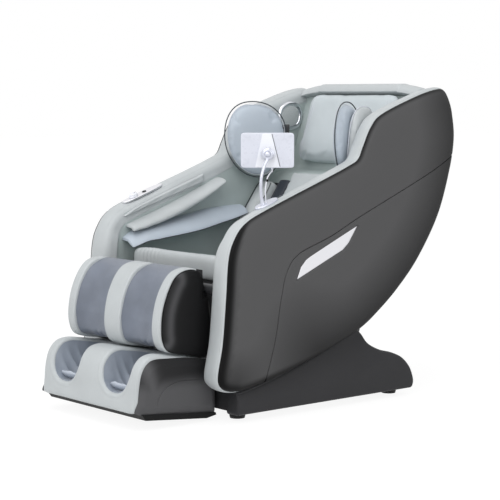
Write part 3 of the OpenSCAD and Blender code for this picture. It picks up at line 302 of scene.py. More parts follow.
class Finish:
    """A node material read from Object coordinates: a shader with room for grain and colour."""

    def __init__(self, name, colour, rough, metal=0.0, **sockets):
        self.material = bpy.data.materials.new(name)
        self.material.use_nodes = True
        self.tree = self.material.node_tree
        self.shader = self.tree.nodes["Principled BSDF"]
        self.colour = tone(*colour)
        self.shader.inputs["Base Color"].default_value = self.colour
        self.shader.inputs["Roughness"].default_value = rough
        self.shader.inputs["Metallic"].default_value = metal
        for key, value in sockets.items():
            self.shader.inputs[key.replace("_", " ")].default_value = value
        self.place = self.node("ShaderNodeTexCoord").outputs["Object"]
        self.height = None

    def node(self, kind, **values):
        made = self.tree.nodes.new(kind)
        for key, value in values.items():
            setattr(made, key, value)
        return made

    def link(self, a, b):
        self.tree.links.new(a, b)

    def stretched(self, scale, turn=(0, 0, 0)):
        m = self.node("ShaderNodeMapping")
        m.inputs["Scale"].default_value = scale
        m.inputs["Rotation"].default_value = turn
        self.link(self.place, m.inputs["Vector"])
        return m.outputs["Vector"]

    def noise(self, scale, detail=3.0, vector=None):
        n = self.node("ShaderNodeTexNoise")
        n.inputs["Scale"].default_value = scale
        n.inputs["Detail"].default_value = detail
        self.link(vector or self.place, n.inputs["Vector"])
        return n.outputs["Fac"]

    def cells(self, scale, vector=None):
        n = self.node("ShaderNodeTexVoronoi", feature="DISTANCE_TO_EDGE")
        n.inputs["Scale"].default_value = scale
        self.link(vector or self.place, n.inputs["Vector"])
        return n.outputs["Distance"]

    def bands(self, scale, turn, distort=0.0):
        n = self.node("ShaderNodeTexWave", wave_type="BANDS", bands_direction="X")
        n.inputs["Scale"].default_value = scale
        n.inputs["Distortion"].default_value = distort
        self.link(self.stretched((1, 1, 1), turn), n.inputs["Vector"])
        return n.outputs["Fac"]

    def relief(self, value, strength, depth):
        """Adds a bump on top of those before it."""
        b = self.node("ShaderNodeBump")
        b.inputs["Strength"].default_value = strength
        b.inputs["Distance"].default_value = depth
        self.link(value, b.inputs["Height"])
        if self.height is not None:
            self.link(self.height, b.inputs["Normal"])
        self.height = b.outputs["Normal"]
        self.link(self.height, self.shader.inputs["Normal"])
        return self

    def vary(self, value, low, high, a=0.3, b=0.7):
        """Base colour between low and high times the tone, as the value runs from a to b."""
        ramp = self.node("ShaderNodeValToRGB")
        ramp.color_ramp.elements[0].position = a
        ramp.color_ramp.elements[1].position = b
        ramp.color_ramp.elements[0].color = tuple(c * low for c in self.colour[:3]) + (1,)
        ramp.color_ramp.elements[1].color = tuple(min(c * high, 1) for c in self.colour[:3]) + (1,)
        self.link(value, ramp.inputs["Fac"])
        self.link(ramp.outputs["Color"], self.shader.inputs["Base Color"])
        return self

    def rough(self, value, low, high, a=0.3, b=0.7):
        """Roughness from low to high as the value runs from a to b."""
        m = self.node("ShaderNodeMapRange")
        for key, v in (("From Min", a), ("From Max", b), ("To Min", low), ("To Max", high)):
            m.inputs[key].default_value = v
        self.link(value, m.inputs["Value"])
        self.link(m.outputs["Result"], self.shader.inputs["Roughness"])
        return self


def leather(name, colour, rough, grain=1.0, coat=0.05, shine=0.5):
    """Synthetic leather: pebble cells about a millimetre wide, soft creases and uneven tone."""
    f = Finish(name, colour, rough, Coat_Weight=coat, Coat_Roughness=0.35, Specular_IOR_Level=shine)
    f.vary(f.noise(9, 4), 0.95, 1.04)
    f.rough(f.noise(35, 3), rough - 0.06, rough + 0.07)
    f.relief(f.cells(850), 0.16 * grain, 0.0004)
    f.relief(f.noise(28, 5), 0.10 * grain, 0.002)
    return f.material


def cloth(name, colour, rough, sheen):
    """Elastic fabric: fine ribs both ways, a soft sheen and broad folds of tone."""
    f = Finish(name, colour, rough, Sheen_Weight=sheen, Sheen_Roughness=0.4)
    f.vary(f.noise(14, 3), 0.9, 1.1)
    f.relief(f.bands(520, (0, 0, 0)), 0.12, 0.0003)
    f.relief(f.bands(520, (0, math.pi / 2, 0)), 0.12, 0.0003)
    f.relief(f.noise(45, 3), 0.15, 0.0015)
    return f.material


def moulded(name, colour, rough, grain=0.05, scale=1400, **sockets):
    """Moulded plastic or paint: fine texture, slight tone changes."""
    f = Finish(name, colour, rough, **sockets)
    f.vary(f.noise(5, 3), 0.96, 1.04)
    f.rough(f.noise(60, 4), rough - 0.03, rough + 0.04)
    f.relief(f.noise(scale, 2), grain, 0.0003)
    return f.material


def lacquer_with_painted_shade(name, rim, middle, rough):
    """Satin finish, with painted shade darker along the rim: the mesh carries it in its rim attribute."""
    f = Finish(name, middle, rough, Specular_IOR_Level=0.12)
    # painted shade and highlight: rim colour where the rim attribute is 0, middle colour where it is 1
    painted_shade_ramp = f.node("ShaderNodeValToRGB")
    painted_shade_ramp.color_ramp.elements[0].color = tone(*rim)
    painted_shade_ramp.color_ramp.elements[1].color = tone(*middle)
    f.link(f.node("ShaderNodeAttribute", attribute_name="rim").outputs["Fac"], painted_shade_ramp.inputs["Fac"])
    f.link(painted_shade_ramp.outputs["Color"], f.shader.inputs["Base Color"])
    f.rough(f.noise(60, 4), rough - 0.03, rough + 0.04)
    f.relief(f.noise(900, 2), 0.06, 0.0003)
    return f.material


def metal(name, colour, rough, brush=0.08):
    """Metal with marks drawn along one way."""
    f = Finish(name, colour, rough, metal=1.0)
    marks = f.noise(60, 3, f.stretched((1, 1, 40)))
    f.rough(marks, max(rough - 0.06, 0.03), rough + 0.1)
    f.relief(marks, brush, 0.0002)
    return f.material


FINISH = {
    "grey_leather": leather("grey_leather", (188, 193, 195), 0.46),
    "blue_grey_leather": leather("blue_grey_leather", (184, 194, 205), 0.44),
    "pale_leather": leather("pale_leather", (194, 202, 206), 0.42),
    "wall_leather": leather("wall_leather", (178, 189, 188), 0.5, shine=0.3),
    "black_leather": leather("black_leather", (17, 17, 18), 0.36, coat=0.05, shine=0.12),
    "slate_fabric": cloth("slate_fabric", (112, 119, 132), 0.42, 0.3),
    "navy_fabric": cloth("navy_fabric", (33, 39, 50), 0.6, 0.25),
    # panel_black: dark rim colour and lit middle colour, blended by painted shade on the side panels
    "panel_black": lacquer_with_painted_shade("panel_black", (7, 7, 8), (86, 86, 87), 0.42),
    "black_plastic": moulded("black_plastic", (54, 54, 56), 0.42, 0.08, 900, Specular_IOR_Level=0.15),
    "dark_plastic": moulded("dark_plastic", (18, 18, 19), 0.5, 0.08, Specular_IOR_Level=0.15),
    "grey_plastic": moulded("grey_plastic", (88, 90, 93), 0.5, 0.08),
    "red_plastic": moulded("red_plastic", (150, 20, 22), 0.3, 0.02),
    "white_plastic": moulded("white_plastic", (238, 240, 247), 0.25, 0.02, Coat_Weight=0.3),
    "wheel_plastic": moulded("wheel_plastic", (150, 128, 100), 0.5, 0.1),
    "rubber": moulded("rubber", (28, 28, 28), 0.75, 0.2),
    "steel": moulded("steel", (54, 55, 58), 0.45, 0.12, 700),
    "bare_steel": metal("bare_steel", (190, 192, 196), 0.28),
    "silver_plate": metal("silver_plate", (232, 232, 236), 0.34, 0.03),
}
chrome = metal("bright_chrome", (225, 227, 232), 0.08, 0.01)
pearl = moulded("pearl_paint", (205, 208, 220), 0.2, 0.02, Metallic=0.55)
tablet_shell = moulded("tablet_shell", (216, 219, 230), 0.28, 0.02, Coat_Weight=0.2)
piping_dark = leather("piping_dark", (58, 64, 70), 0.5, 0.5)
piping_pale = leather("piping_pale", (205, 208, 216), 0.4, 0.5)
thread = cloth("thread", (176, 182, 184), 0.6, 0.2)
toe_cloth = leather("toe_cloth", (192, 200, 212), 0.3, 0.8, coat=0.2)
cup_cloth = cloth("cup_cloth", (142, 150, 162), 0.38, 0.4)
# foot side covers: painted shade and painted highlight between the dark rim colour and the middle colour
side_cover_painted_light = lacquer_with_painted_shade("side_cover_painted_light", (10, 10, 11), (86, 86, 88), 0.4)
# calf pods: near-black with a painted highlight that rises to the middle colour
pod_black_painted_highlight = lacquer_with_painted_shade("pod_black_painted_highlight", (9, 9, 10), (74, 74, 76), 0.34)

slots = {row["node"]: row["material_slot"] for row in frame["record"]["subparts"]}
for node_name, node in frame["nodes"].items():
    node.data.materials.clear()
    node.data.materials.append(FINISH[slots[node_name]])


# ---------------------------------------------------------------- stage, light and camera
def seen_directly(tree, path, mix, share=1.0):
    """The mix's second shader is what camera, mirror and see-through rays meet."""
    kinds = [path.outputs[k] for k in ("Is Camera Ray", "Is Glossy Ray", "Is Transmission Ray")]
    total = kinds[0]
    for other in kinds[1:]:
        top = tree.nodes.new("ShaderNodeMath")
        top.operation = "MAXIMUM"
        tree.links.new(total, top.inputs[0])
        tree.links.new(other, top.inputs[1])
        total = top.outputs[0]
    part = tree.nodes.new("ShaderNodeMath")
    part.operation = "MULTIPLY"
    part.inputs[1].default_value = share
    tree.links.new(total, part.inputs[0])
    tree.links.new(part.outputs[0], mix.inputs[0])


CAMERA_LENS, CAMERA_AT = 115.9, (4.3627, -3.6228, 1.07)
CAMERA_TURN, CAMERA_DIP = math.radians(50), math.radians(5.5)


def make_stage():
    """Pale floor, even sky, four soft lamps and the camera."""
    bpy.ops.mesh.primitive_plane_add(size=60)
    floor = bpy.context.object
    floor.name = "floor"
    look = bpy.data.materials.new("floor")
    look.use_nodes = True
    t = look.node_tree
    t.nodes["Principled BSDF"].inputs["Base Color"].default_value = (0.86, 0.86, 0.86, 1)
    t.nodes["Principled BSDF"].inputs["Roughness"].default_value = 0.9
    glow, mix, path = (t.nodes.new("ShaderNode" + k) for k in ("Emission", "MixShader", "LightPath"))
    glow.inputs["Strength"].default_value = 1.12
    seen_directly(t, path, mix, 0.8)
    t.links.new(t.nodes["Principled BSDF"].outputs[0], mix.inputs[1])
    t.links.new(glow.outputs[0], mix.inputs[2])
    t.links.new(mix.outputs[0], t.nodes["Material Output"].inputs["Surface"])
    floor.data.materials.append(look)

    world = scene.world or bpy.data.worlds.new("world")
    scene.world = world
    world.use_nodes = True
    t = world.node_tree
    dim = t.nodes["Background"]
    dim.inputs["Color"].default_value = (1, 1, 1, 1)
    dim.inputs["Strength"].default_value = 0.6
    full, mix, path = (t.nodes.new("ShaderNode" + k) for k in ("Background", "MixShader", "LightPath"))
    full.inputs["Color"].default_value = (1, 1, 1, 1)
    seen_directly(t, path, mix)
    t.links.new(dim.outputs[0], mix.inputs[1])
    t.links.new(full.outputs[0], mix.inputs[2])
    t.links.new(mix.outputs[0], t.nodes["World Output"].inputs["Surface"])

    for name, at, aim, size, energy in (
            ("lamp_top", (0.6, -1.2, 3.6), (0, 0, 0.5), 3.2, 46),
            ("lamp_front", (-1.6, -4.2, 2.0), (0, -0.1, 0.5), 2.6, 24),
            ("lamp_side", (4.4, -0.4, 1.9), (0, 0.1, 0.55), 2.4, 26),
            ("lamp_seat", (2.2, -3.6, 2.6), (-0.1, 0.3, 0.85), 1.6, 30)):
        data = bpy.data.lights.new(name, "AREA")
        data.size = size
        data.energy = energy
        lamp = bpy.data.objects.new(name, data)
        lamp.location = at
        lamp.rotation_euler = (Vector(aim) - Vector(at)).to_track_quat("-Z", "Y").to_euler()
        scene.collection.objects.link(lamp)

    data = bpy.data.cameras.new("camera")
    data.lens = CAMERA_LENS
    data.sensor_width = 36
    camera = bpy.data.objects.new("camera", data)
    camera.location = CAMERA_AT
    turn, dip = CAMERA_TURN, CAMERA_DIP
    look = Vector((-math.sin(turn) * math.cos(dip), math.cos(turn) * math.cos(dip), -math.sin(dip)))
    camera.rotation_euler = look.to_track_quat("-Z", "Y").to_euler()
    scene.collection.objects.link(camera)
    scene.camera = camera
    scene.view_settings.view_transform = "Standard"


make_stage()

# ---------------------------------------------------------------- side panels
SHELL = [(FRONT, BOTTOM + 55), (FRONT + 16, BOTTOM + 16), (FRONT + 58, BOTTOM), (FRONT + 118, BOTTOM + 3),
         (FRONT + 255, BOTTOM + 32), (FRONT + 343, BOTTOM + 56), (FRONT + 479, BOTTOM + 99),
         (REAR - 467, BOTTOM + 154), (REAR - 376, BOTTOM + 209), (REAR - 278, BOTTOM + 285),
         (REAR - 179, BOTTOM + 385), (REAR - 79, BOTTOM + 533), (REAR - 20, TOP - 290), (REAR, TOP - 179),
         (REAR - 10, TOP - 95), (REAR - 27, TOP - 40), (REAR - 50, TOP - 7), (REAR - 85, TOP - 1),
         (REAR - 187, TOP - 25), (SHOULDER_Y + 127, TOP - 87), (SHOULDER_Y + 72, TOP - 133),
         (SHOULDER_Y + 35, SHOULDER_H + 60), (SHOULDER_Y + 12, SHOULDER_H + 18),
         (SHOULDER_Y - 30, SHOULDER_H - 3), (SHOULDER_Y - 129, SHOULDER_H - 40), (FRONT + 210, ARM_H + 44),
         (FRONT + 113, ARM_H), (FRONT + 67, ARM_H - 53), (FRONT + 45, ARM_H - 117), (FRONT + 35, ARM_H - 237),
         (FRONT + 21, BOTTOM + 163)]
SEAM = [(FRONT + 183, BOTTOM - 30), (FRONT + 198, BOTTOM + 42), (FRONT + 233, BOTTOM + 175),
        (FRONT + 254, BOTTOM + 289), (FRONT + 280, BOTTOM + 380), (FRONT + 333, BOTTOM + 436),
        (FRONT + 477, BOTTOM + 487), (REAR - 475, BOTTOM + 548), (REAR - 133, BOTTOM + 688),
        (REAR + 60, BOTTOM + 784)]
BLADE = [(FRONT + 324, BOTTOM + 350), (FRONT + 533, BOTTOM + 437), (FRONT + 560, BOTTOM + 459),
         (FRONT + 584, BOTTOM + 492), (FRONT + 602, BOTTOM + 518), (FRONT + 386, BOTTOM + 426),
         (FRONT + 364, BOTTOM + 414), (FRONT + 342, BOTTOM + 392)]
shell = curve(SHELL, 10, True)
seam = curve(SEAM, 10)
# The trim runs from one point of the shell line to another. Along it the panel's edge stands back, eased
# in at both ends over some points.
HOOP_START, HOOP_END = 143, 36
EDGE_BACK, EDGE_EASE = 3.5, 12
hoop = np.roll(np.arange(len(shell)), -HOOP_START)[:len(shell) - HOOP_START + HOOP_END]
back_off = np.zeros(len(shell))
from_end = np.minimum(np.arange(len(hoop)), np.arange(len(hoop))[::-1])
back_off[hoop] = EDGE_BACK * np.clip(from_end / EDGE_EASE, 0, 1)
panel_edge = shell + back_off[:, None] * leftward(shell, True)
blade = even(straight(BLADE, 12), 160, True)

ARM_A = np.array([FRONT + 210, ARM_H + 44])
ARM_B = np.array([SHOULDER_Y - 129, SHOULDER_H - 40])
ARM_DIR = (ARM_B - ARM_A) / np.linalg.norm(ARM_B - ARM_A)


def panel_height(p):
    """Domed panel: a rounded rim, then a slow rise towards the middle, sunk round the blade plate."""
    d = away(p, loop(panel_edge))
    x = PANEL_X + 8.0 * rounding(d, 16) + 15.0 * rounding(d, 120, 1.9)
    return x - 3.0 * smooth((3.2 - np.where(inside(p, blade), 0, away(p, loop(blade)))) / 1.2)


def shaded(things, value):
    """Writes the rim attribute of painted shade and highlight: value takes the points' y and z in
    millimetres.
    """
    for thing in things:
        p = points_of(thing.data)[:, 1:] / MM
        thing.data.attributes.new("rim", "FLOAT", "POINT").data.foreach_set("value", np.clip(value(p), 0, 1))


def make_panels():
    """The outline is cut at the seam into a front strip and a main part, 2 mm apart, and the last
    3 mm beside the seam roll inwards."""
    zone = np.vstack([seam, [(REAR + 60, TOP + 200), (FRONT - 200, TOP + 200), (FRONT - 200, BOTTOM - 30)]])
    ahead = inside(panel_edge, zone)
    start = int(np.argmax(ahead & ~np.roll(ahead, 1)))
    ring = np.roll(panel_edge, -start, 0)
    count = int(ahead.sum())
    n = leftward(seam)
    cuts = []
    for side, part in ((0.9, ring[:count]), (-0.9, ring[count:])):
        line = seam + side * n
        line = line[inside(line, panel_edge) & (away(line, loop(panel_edge)) > 4)]
        cuts.append(np.vstack([part, line if side > 0 else line[::-1]]))
    rolled = lambda p: panel_height(p) - 2.4 * (1 - rounding(away(p, seam) - 0.9, 3.5))
    under = shell[(shell[:, 0] > REAR - 200) & (shell[:, 1] < TOP - 60) |
                  (shell[:, 1] < BOTTOM + 300) & (shell[:, 0] > 0)]

    # painted shade on the side panels: darker in a band along the outline (wider at the front and bottom),
    # towards the rear and lower rear edges, and in the front lower corner
    def panel_painted_shade(p):
        wide = np.maximum(smooth((-290 - p[:, 0]) / 70), 0.6 * smooth((240 - p[:, 1]) / 90))
        rim = smooth((away(p, loop(shell)) - 2 - 10 * wide) / (14 + 16 * wide))
        low = np.clip(away(p, under) / (330 - 120 * smooth((p[:, 0] + 150) / 300)), 0, 1)
        corner = smooth((-200 - p[:, 0]) / 160) * smooth((300 - p[:, 1]) / 170)
        return rim * (0.1 + 0.98 * low**0.8) * (1 - 0.55 * corner)

    for name, line, marks in (("side_strip", cuts[0], ()), ("side_panel", cuts[1], "blade")):
        line = even(line, 420, True)
        rings = [blade - d * leftward(blade, True) for d in (1.2, 2.4, 3.4)] if marks else []
        part = puck(line, (1.0, 2.4, 4.5, 8, 13, 20, 29), 15, rolled, PANEL_X + 0.4, rings)
        shaded(pair(name, part, "panel_black", "shell", "panel_black",
                    ((name + "_left",), (name + "_right",))), panel_painted_shade)
    plate = puck(blade - 0.4 * leftward(blade, True), (0.5, 1.2, 2.2), 9,
                 lambda p: 402.6 + 1.6 * rounding(away(p, loop(blade)), 2.5), 399.5)
    pair("side_plate", plate, "silver_plate", "shell", "silver_plate", ("side_plates",))


make_panels()

# ---------------------------------------------------------------- trim hoops and inner walls
def make_trim():
    """A padded section carried along the shell line, from the rear of the top round to the skirt. Its
    crown stands 2 mm over the line and its inner corner turns in with a wide radius."""
    path = even(np.vstack([shell[HOOP_START:], shell[:HOOP_END]]), 240)
    n = leftward(path)
    section = curve([(383.5, 15), (383.8, 6), (381, 1.5), (368, -1.5), (348, -1), (331, 3), (319, 11),
                     (312.5, 23),
                     (310.8, 38), (310.5, 52), (318, 54), (321, 40), (324, 26), (345, 16)], 4, True)
    x, d = section[:, 0], section[:, 1]
    s = np.linspace(0, 1, len(path))
    puff = 0.8 * np.sin(37 * s)[:, None] * bump(x, 350, 25)[None, :]
    flat = path[:, None] + n[:, None] * (d[None, :] - puff)[..., None]
    along = (path - ARM_A) @ ARM_DIR
    seat = 3.0 * smooth((along + 110) / 40) * smooth((160 - along) / 40) * smooth((path[:, 1] - 640) / 30)
    flat += (n * seat[:, None])[:, None] * smooth((382 - x) / 6)[None, :, None]
    front = smooth((-345 - path[:, 0]) / 45)[:, None]
    wide = x[None, :] - 15 * front * smooth((352 - x[None, :]) / 30)
    rings = at_x(wide[..., None], flat)
    pair("side_trim", tube(rings), "grey_leather", "shell", "grey_leather",
         (("side_trim_left",), ("side_trim_right",)), soft=0.8)
    up = np.c_[np.zeros(len(path)), -n]
    for k, (at, lift) in enumerate(((377, 0.2), (326, 5.2))):
        line = np.c_[np.full(len(path), at), path + n * lift]
        pair("trim_stitch_%d" % k, stitches(line, up), thread, "shell", "grey_leather")


def make_walls():
    """Inner side walls: flat boards under leather that swells by 3 mm away from its edges."""
    line = even(shell + 21 * leftward(shell, True), 300, True)
    height = lambda p: 313.5 - 3.0 * rounding(away(p, loop(line)), 60, 1.8)
    part = puck(line, (4, 12, 26), 22, height, 319.5)
    pair("inner_wall", part, "wall_leather", "shell", "wall_leather",
         (("inner_wall_left",), ("inner_wall_right",)), soft=0.9)


make_trim()
make_walls()

# ---------------------------------------------------------------- padding
def cushion(line, middle, half, thick, crown, lift=0.3, sides=48):
    """Crowned pad on a line in Y and Z: superellipse sections square to the line, drawn in at both
    ends by an eighth-power superellipse, with a top that is highest in the middle of its width."""
    s = np.linspace(-1, 1, len(line))[:, None]
    e = (1 - (np.abs(s) * 0.995) ** 8) ** 0.125
    a = np.linspace(0, 2 * np.pi, sides, endpoint=False)[None]
    w = half * (0.9 + 0.1 * e) * power(np.cos(a), 0.45)
    q = power(np.sin(a), 0.5)
    h = lift + thick * (0.5 + 0.5 * q * e) * np.where(q > 0, 1 - crown * (w / half) ** 2, 1)
    n = leftward(line)
    return np.stack([middle + w, line[:, :1] + n[:, :1] * h, line[:, 1:] + n[:, 1:] * h], 2)


def pillow(outline, thick, steps=18, square=0.5):
    """Star-shaped outline on a plane, crowned both ways: its copies shrink by a power of the cosine
    while their height follows the sine."""
    a = np.radians(np.linspace(-86, 86, steps))[:, None]
    s = np.cos(a) ** square
    z = thick / 2 * np.sin(a) / math.sin(math.radians(86))
    return np.stack([outline[None, :, 0] * s, outline[None, :, 1] * s,
                     np.broadcast_to(z, (steps, len(outline)))], 2)


def superbox(w, h, count, e):
    """Rounded box outline: a superellipse with the power e."""
    a = np.linspace(0, 2 * np.pi, count, endpoint=False)
    return np.stack([w / 2 * power(np.cos(a), e), h / 2 * power(np.sin(a), e)], 1)


def plump(part, voxel=6.0, air=4.0, reach=9.0, free=None, slack=0.02):
    """Cloth over air: the form is remeshed to even cells, swelled for twenty frames with no weight,
    and each point moves at most `reach`, times its own freedom where that is given."""
    mesh = bpy.data.meshes.new("work")
    mesh.from_pydata((part[0] * MM).tolist(), [], part[1])
    thing = bpy.data.objects.new("work", mesh)
    scene.collection.objects.link(thing)
    cells = thing.modifiers.new("cells", "REMESH")
    cells.mode = "VOXEL"
    cells.voxel_size = voxel * MM
    bpy.context.view_layer.update()
    shape = thing.evaluated_get(bpy.context.evaluated_depsgraph_get())
    regular = bpy.data.meshes.new_from_object(shape)
    thing.modifiers.clear()
    thing.data = regular
    start = points_of(regular)
    loose = np.ones(len(start)) if free is None else free(start / MM)
    held = thing.vertex_groups.new(name="held")
    held.add(np.flatnonzero(loose < 0.05).tolist(), 1.0, "REPLACE")
    skin = thing.modifiers.new("skin", "CLOTH")
    skin.settings.quality = 4
    skin.settings.mass = 0.3
    skin.settings.use_pressure = True
    skin.settings.uniform_pressure_force = air
    skin.settings.shrink_min = -slack
    skin.settings.effector_weights.gravity = 0
    skin.settings.vertex_group_mass = "held"
    skin.point_cache.frame_start, skin.point_cache.frame_end = 1, 20
    for step in range(1, 21):
        scene.frame_set(step)
    shape = thing.evaluated_get(bpy.context.evaluated_depsgraph_get())
    move = (points_of(shape.data) - start) / MM
    size = np.linalg.norm(move, axis=1, keepdims=True) + 1e-9
    move *= np.minimum(size, reach) / size * loose[:, None]
    faces = [list(p.vertices) for p in regular.polygons]
    scene.frame_set(1)
    bpy.data.objects.remove(thing)
    bpy.data.meshes.remove(regular)
    bpy.data.meshes.remove(mesh)
    return start / MM + move, faces


def turned(points, matrix, at):
    """Points of a local frame, turned by a matrix and moved to a place."""
    return points @ np.asarray(matrix, float).T + np.asarray(at, float)


# ---------------------------------------------------------------- seat and back
BACK_ANGLE = math.radians(54.5)
BACK_DIR = np.array([math.cos(BACK_ANGLE), math.sin(BACK_ANGLE)])
BACK_LOW = np.array([250.0, 536.0])
BACK_HIGH = BACK_LOW + 247 * BACK_DIR
HEAD_LOW = BACK_HIGH + (112, 58)
HEAD_DIR = np.array([85, 270]) / math.hypot(85, 270)
HEAD_LEN = (TOP - 28 - HEAD_LOW[1]) / HEAD_DIR[1]
HEAD_HIGH = HEAD_LOW + HEAD_LEN * HEAD_DIR
PAD_HALF = 311.7
back_across = np.array([-BACK_DIR[1], BACK_DIR[0]])


def on_back(along, off):
    """Point in Y and Z: along the back from its foot, and off it towards the sitter."""
    return BACK_LOW + np.multiply.outer(along, BACK_DIR) + np.multiply.outer(off, back_across)


def make_seat():
    line = even(curve([(-237, 447), (-150, 440), (0, 415), (100, 398)], 12), 46)
    low = lambda p: smooth((p[:, 2] - 438) / 26)
    body = tube(cushion(line, 0, PAD_HALF - 4, 64, 0.12))
    body = plump(body, 9, 4, 12, low, 0.03)
    piece("seat_cushion", body, "wall_leather", "shell", "wall_leather", ("seat_cushion",), soft=0.8,
          levels=1)
    # front roll: superellipse sections along X, with pleats near the sitter's right end
    s = np.linspace(-1, 1, 140)
    e = (1 - (np.abs(s) * 0.995) ** 10) ** 0.1
    a = np.linspace(0, 2 * np.pi, 48, endpoint=False)
    pleat = 3.0 * np.sin(s * 75) * bump(s, -0.62, 0.22) + 0.9 * np.sin(s * 31 + 1) * bump(s, 0.5, 0.4)
    y = -268.5 + (22.5 * e[:, None] + 0.5 * pleat[:, None]) * power(np.cos(a), 0.62)[None]
    z = 492 + (42.2 * e[:, None] + pleat[:, None] * (np.sin(a) > -0.2)[None]) * power(np.sin(a), 0.62)[None]
    x = np.broadcast_to((254 * s)[:, None], y.shape)
    roll = tube(np.stack([x, y, z], 2))
    piece("seat_front_roll", roll, "grey_leather", "shell", "grey_leather", ("seat_front_roll",), soft=0.9,
          levels=1)


def make_back():
    span = np.linspace(0, 1, 44)
    pads = ((0, 169.5, 6, 286, 40, 0.2, "grey_leather", "back_pad"),
            (200, 29.5, 6, 251, 26, 0.1, "navy_fabric", "back_strips"),
            (271, 40.5, 6, 227, 56, 0.25, "grey_leather", "back_bolsters"))
    for middle, half, s0, s1, thick, crown, finish, name in pads:
        line = on_back(s0 + (s1 - s0) * span, np.zeros(44))
        part = tube(cushion(line, middle, half, thick, crown))
        if name != "back_strips":
            deep = lambda p: smooth(((p[:, 1:] - BACK_LOW) @ back_across - 4) / 14)
            part = plump(part, 7, 4, 7, deep, 0.02)
        if middle:
            pair(name, part, finish, "shell", finish, (name,), soft=0.85, levels=1)
        else:
            piece(name, part, finish, "shell", finish, (name,), soft=0.85, levels=1)
    # piping round the front edge of each bolster
    a = np.linspace(0, 2 * np.pi, 120, endpoint=False)
    flat = on_back(116 + 108 * power(np.sin(a), 0.3), np.full(120, 46.0) - 10 * np.abs(np.sin(a)) ** 8)
    ring = np.c_[271 + 38 * power(np.cos(a), 0.3), flat]
    pair("bolster_piping", round_bar(ring, 1.6, 8, True), piping_dark, "shell", "grey_leather")


def make_head():
    """Head cushion: a square pillow that is thicker at its foot, with two sewn lines up each side, on a
    leather panel that covers the pan between the side walls."""
    tip = math.atan2(HEAD_DIR[1], HEAD_DIR[0]) - math.pi / 2
    frame_ = np.array([[1, 0, 0], [0, -math.sin(tip), -math.cos(tip)], [0, math.cos(tip), -math.sin(tip)]])
    mid = (HEAD_LOW + HEAD_HIGH) / 2
    grid = pillow(superbox(476, HEAD_LEN - 8, 120, 0.25), 54, 30, 0.27)
    v = grid[..., 1] / 136
    grid[..., 2] = grid[..., 2] * (1.0 - 0.12 * v) + np.where(grid[..., 2] > 0, 6 * bump(v, -0.5, 0.4), 0)
    verts, faces = tube(grid)
    verts, faces = plump((verts, faces), 8, 4, 9, lambda p: smooth((p[:, 2] + 22) / 16), 0.03)
    off = np.array([0, mid[0] - 27.5 * math.cos(tip), mid[1] - 27.5 * math.sin(tip)]) + 4 * frame_[:, 1]
    face = verts[verts[:, 2] > 4]
    across = np.linspace(-118, 122, 50)
    seams = []
    for x0 in (-206, -196, 196, 206):
        at = np.stack([x0 - math.copysign(0.06, x0) * across, across], 1)
        near = ((face[None, :, :2] - at[:, None]) ** 2).sum(2).argsort(1)[:, :4]
        lift = np.convolve(np.pad(face[near, 2].mean(1), 3, "edge"), np.full(7, 1 / 7), "valid")
        seams.append(round_bar(turned(np.c_[at, lift + 0.2], frame_, off), 0.9, 8))
    verts = turned(verts, frame_, off)
    piece("head_seams", joined(*seams), piping_pale, "shell", "blue_grey_leather")
    piece("head_cushion", (verts, faces), "pale_leather", "shell", "blue_grey_leather", ("head_cushion",),
          soft=0.9, levels=1)

    line = even(curve([BACK_HIGH, BACK_HIGH + 34, HEAD_LOW - (30, 12), HEAD_LOW, HEAD_LOW + 60 * HEAD_DIR,
                       HEAD_HIGH], 12), 60)
    n = leftward(line)
    x = np.linspace(-311.4, 311.4, 60)[None, :, None]
    layers = [at_x(x, np.broadcast_to((line + k * n)[:, None], (60, 60, 2))) for k in (1.3, 0.15)]
    panel = tube(np.concatenate([layers[0], layers[1][:, ::-1]], 1))
    piece("head_panel", panel, "wall_leather", "shell", "wall_leather")


def make_hood():
    """Padded cap over the head end: its section is carried across the chair. The middle is raised, a
    sewn groove runs down each side of it, and the shoulders fall away towards the trim."""
    y = HEAD_HIGH[0]
    line = curve([(y - 12, HEAD_HIGH[1] + 4), (y + 3, HEAD_HIGH[1] + 2.5), (y + 12, HEAD_HIGH[1] - 9),
                  (REAR - 40, TOP - 58), (REAR - 22, TOP - 61), (REAR - 12, TOP - 55), (REAR - 14, TOP - 45),
                  (REAR - 30, TOP + 2), (REAR - 60, TOP + 15), (REAR - 88, TOP + 15), (y - 27, TOP + 6),
                  (y - 35, TOP - 6), (y - 34, TOP - 14)], 8, True)
    near_groove = [k * q for k in (-1, 1) for q in (212, 214, 216, 218, 220, 223)]
    x = np.sort(np.r_[np.linspace(-PAD_HALF, PAD_HALF, 90), near_groove])
    far = np.abs(x)
    fall = 4 * smooth((far - 214) / 10) + 15 * np.clip((far - 222) / 90, 0, 1) ** 1.4 + 3.5 * bump(far, 216,
                                                                                                   2.2)
    high = smooth((line[:, 1] - TOP + 45) / 40)
    z = line[None, :, 1] - fall[:, None] * high[None]
    grid = np.stack([np.broadcast_to(x[:, None], z.shape), np.broadcast_to(line[None, :, 0], z.shape), z], 2)
    piece("hood", tube(grid), "grey_leather", "shell", "grey_leather", ("hood",), soft=0.9, levels=1)


make_seat()
make_back()
make_head()
make_hood()

# ---------------------------------------------------------------- shoulder pads, air cushions, speakers
WING_TURN = math.radians(24.5)
WING_MID = (250, 275, 905)


def wing_frame(turn):
    """Columns: rearwards along the pad, upwards, and away from the sitter, for the sitter's left pad."""
    c, s = math.cos(turn + math.pi / 2), math.sin(turn + math.pi / 2)
    return np.array([[c, 0, s], [s, 0, -c], [0, 1, 0]])


def egg(count, grow=0.0):
    """Egg outline: a soft superellipse that widens upwards and leans with the cube of its height."""
    a = np.linspace(0, 2 * np.pi, count, endpoint=False)
    v = np.sin(a)
    return np.stack([(118 + grow) * power(np.cos(a), 0.9) * (1 + 0.12 * v) - 12 * v**3, (140 + grow) * v], 1)


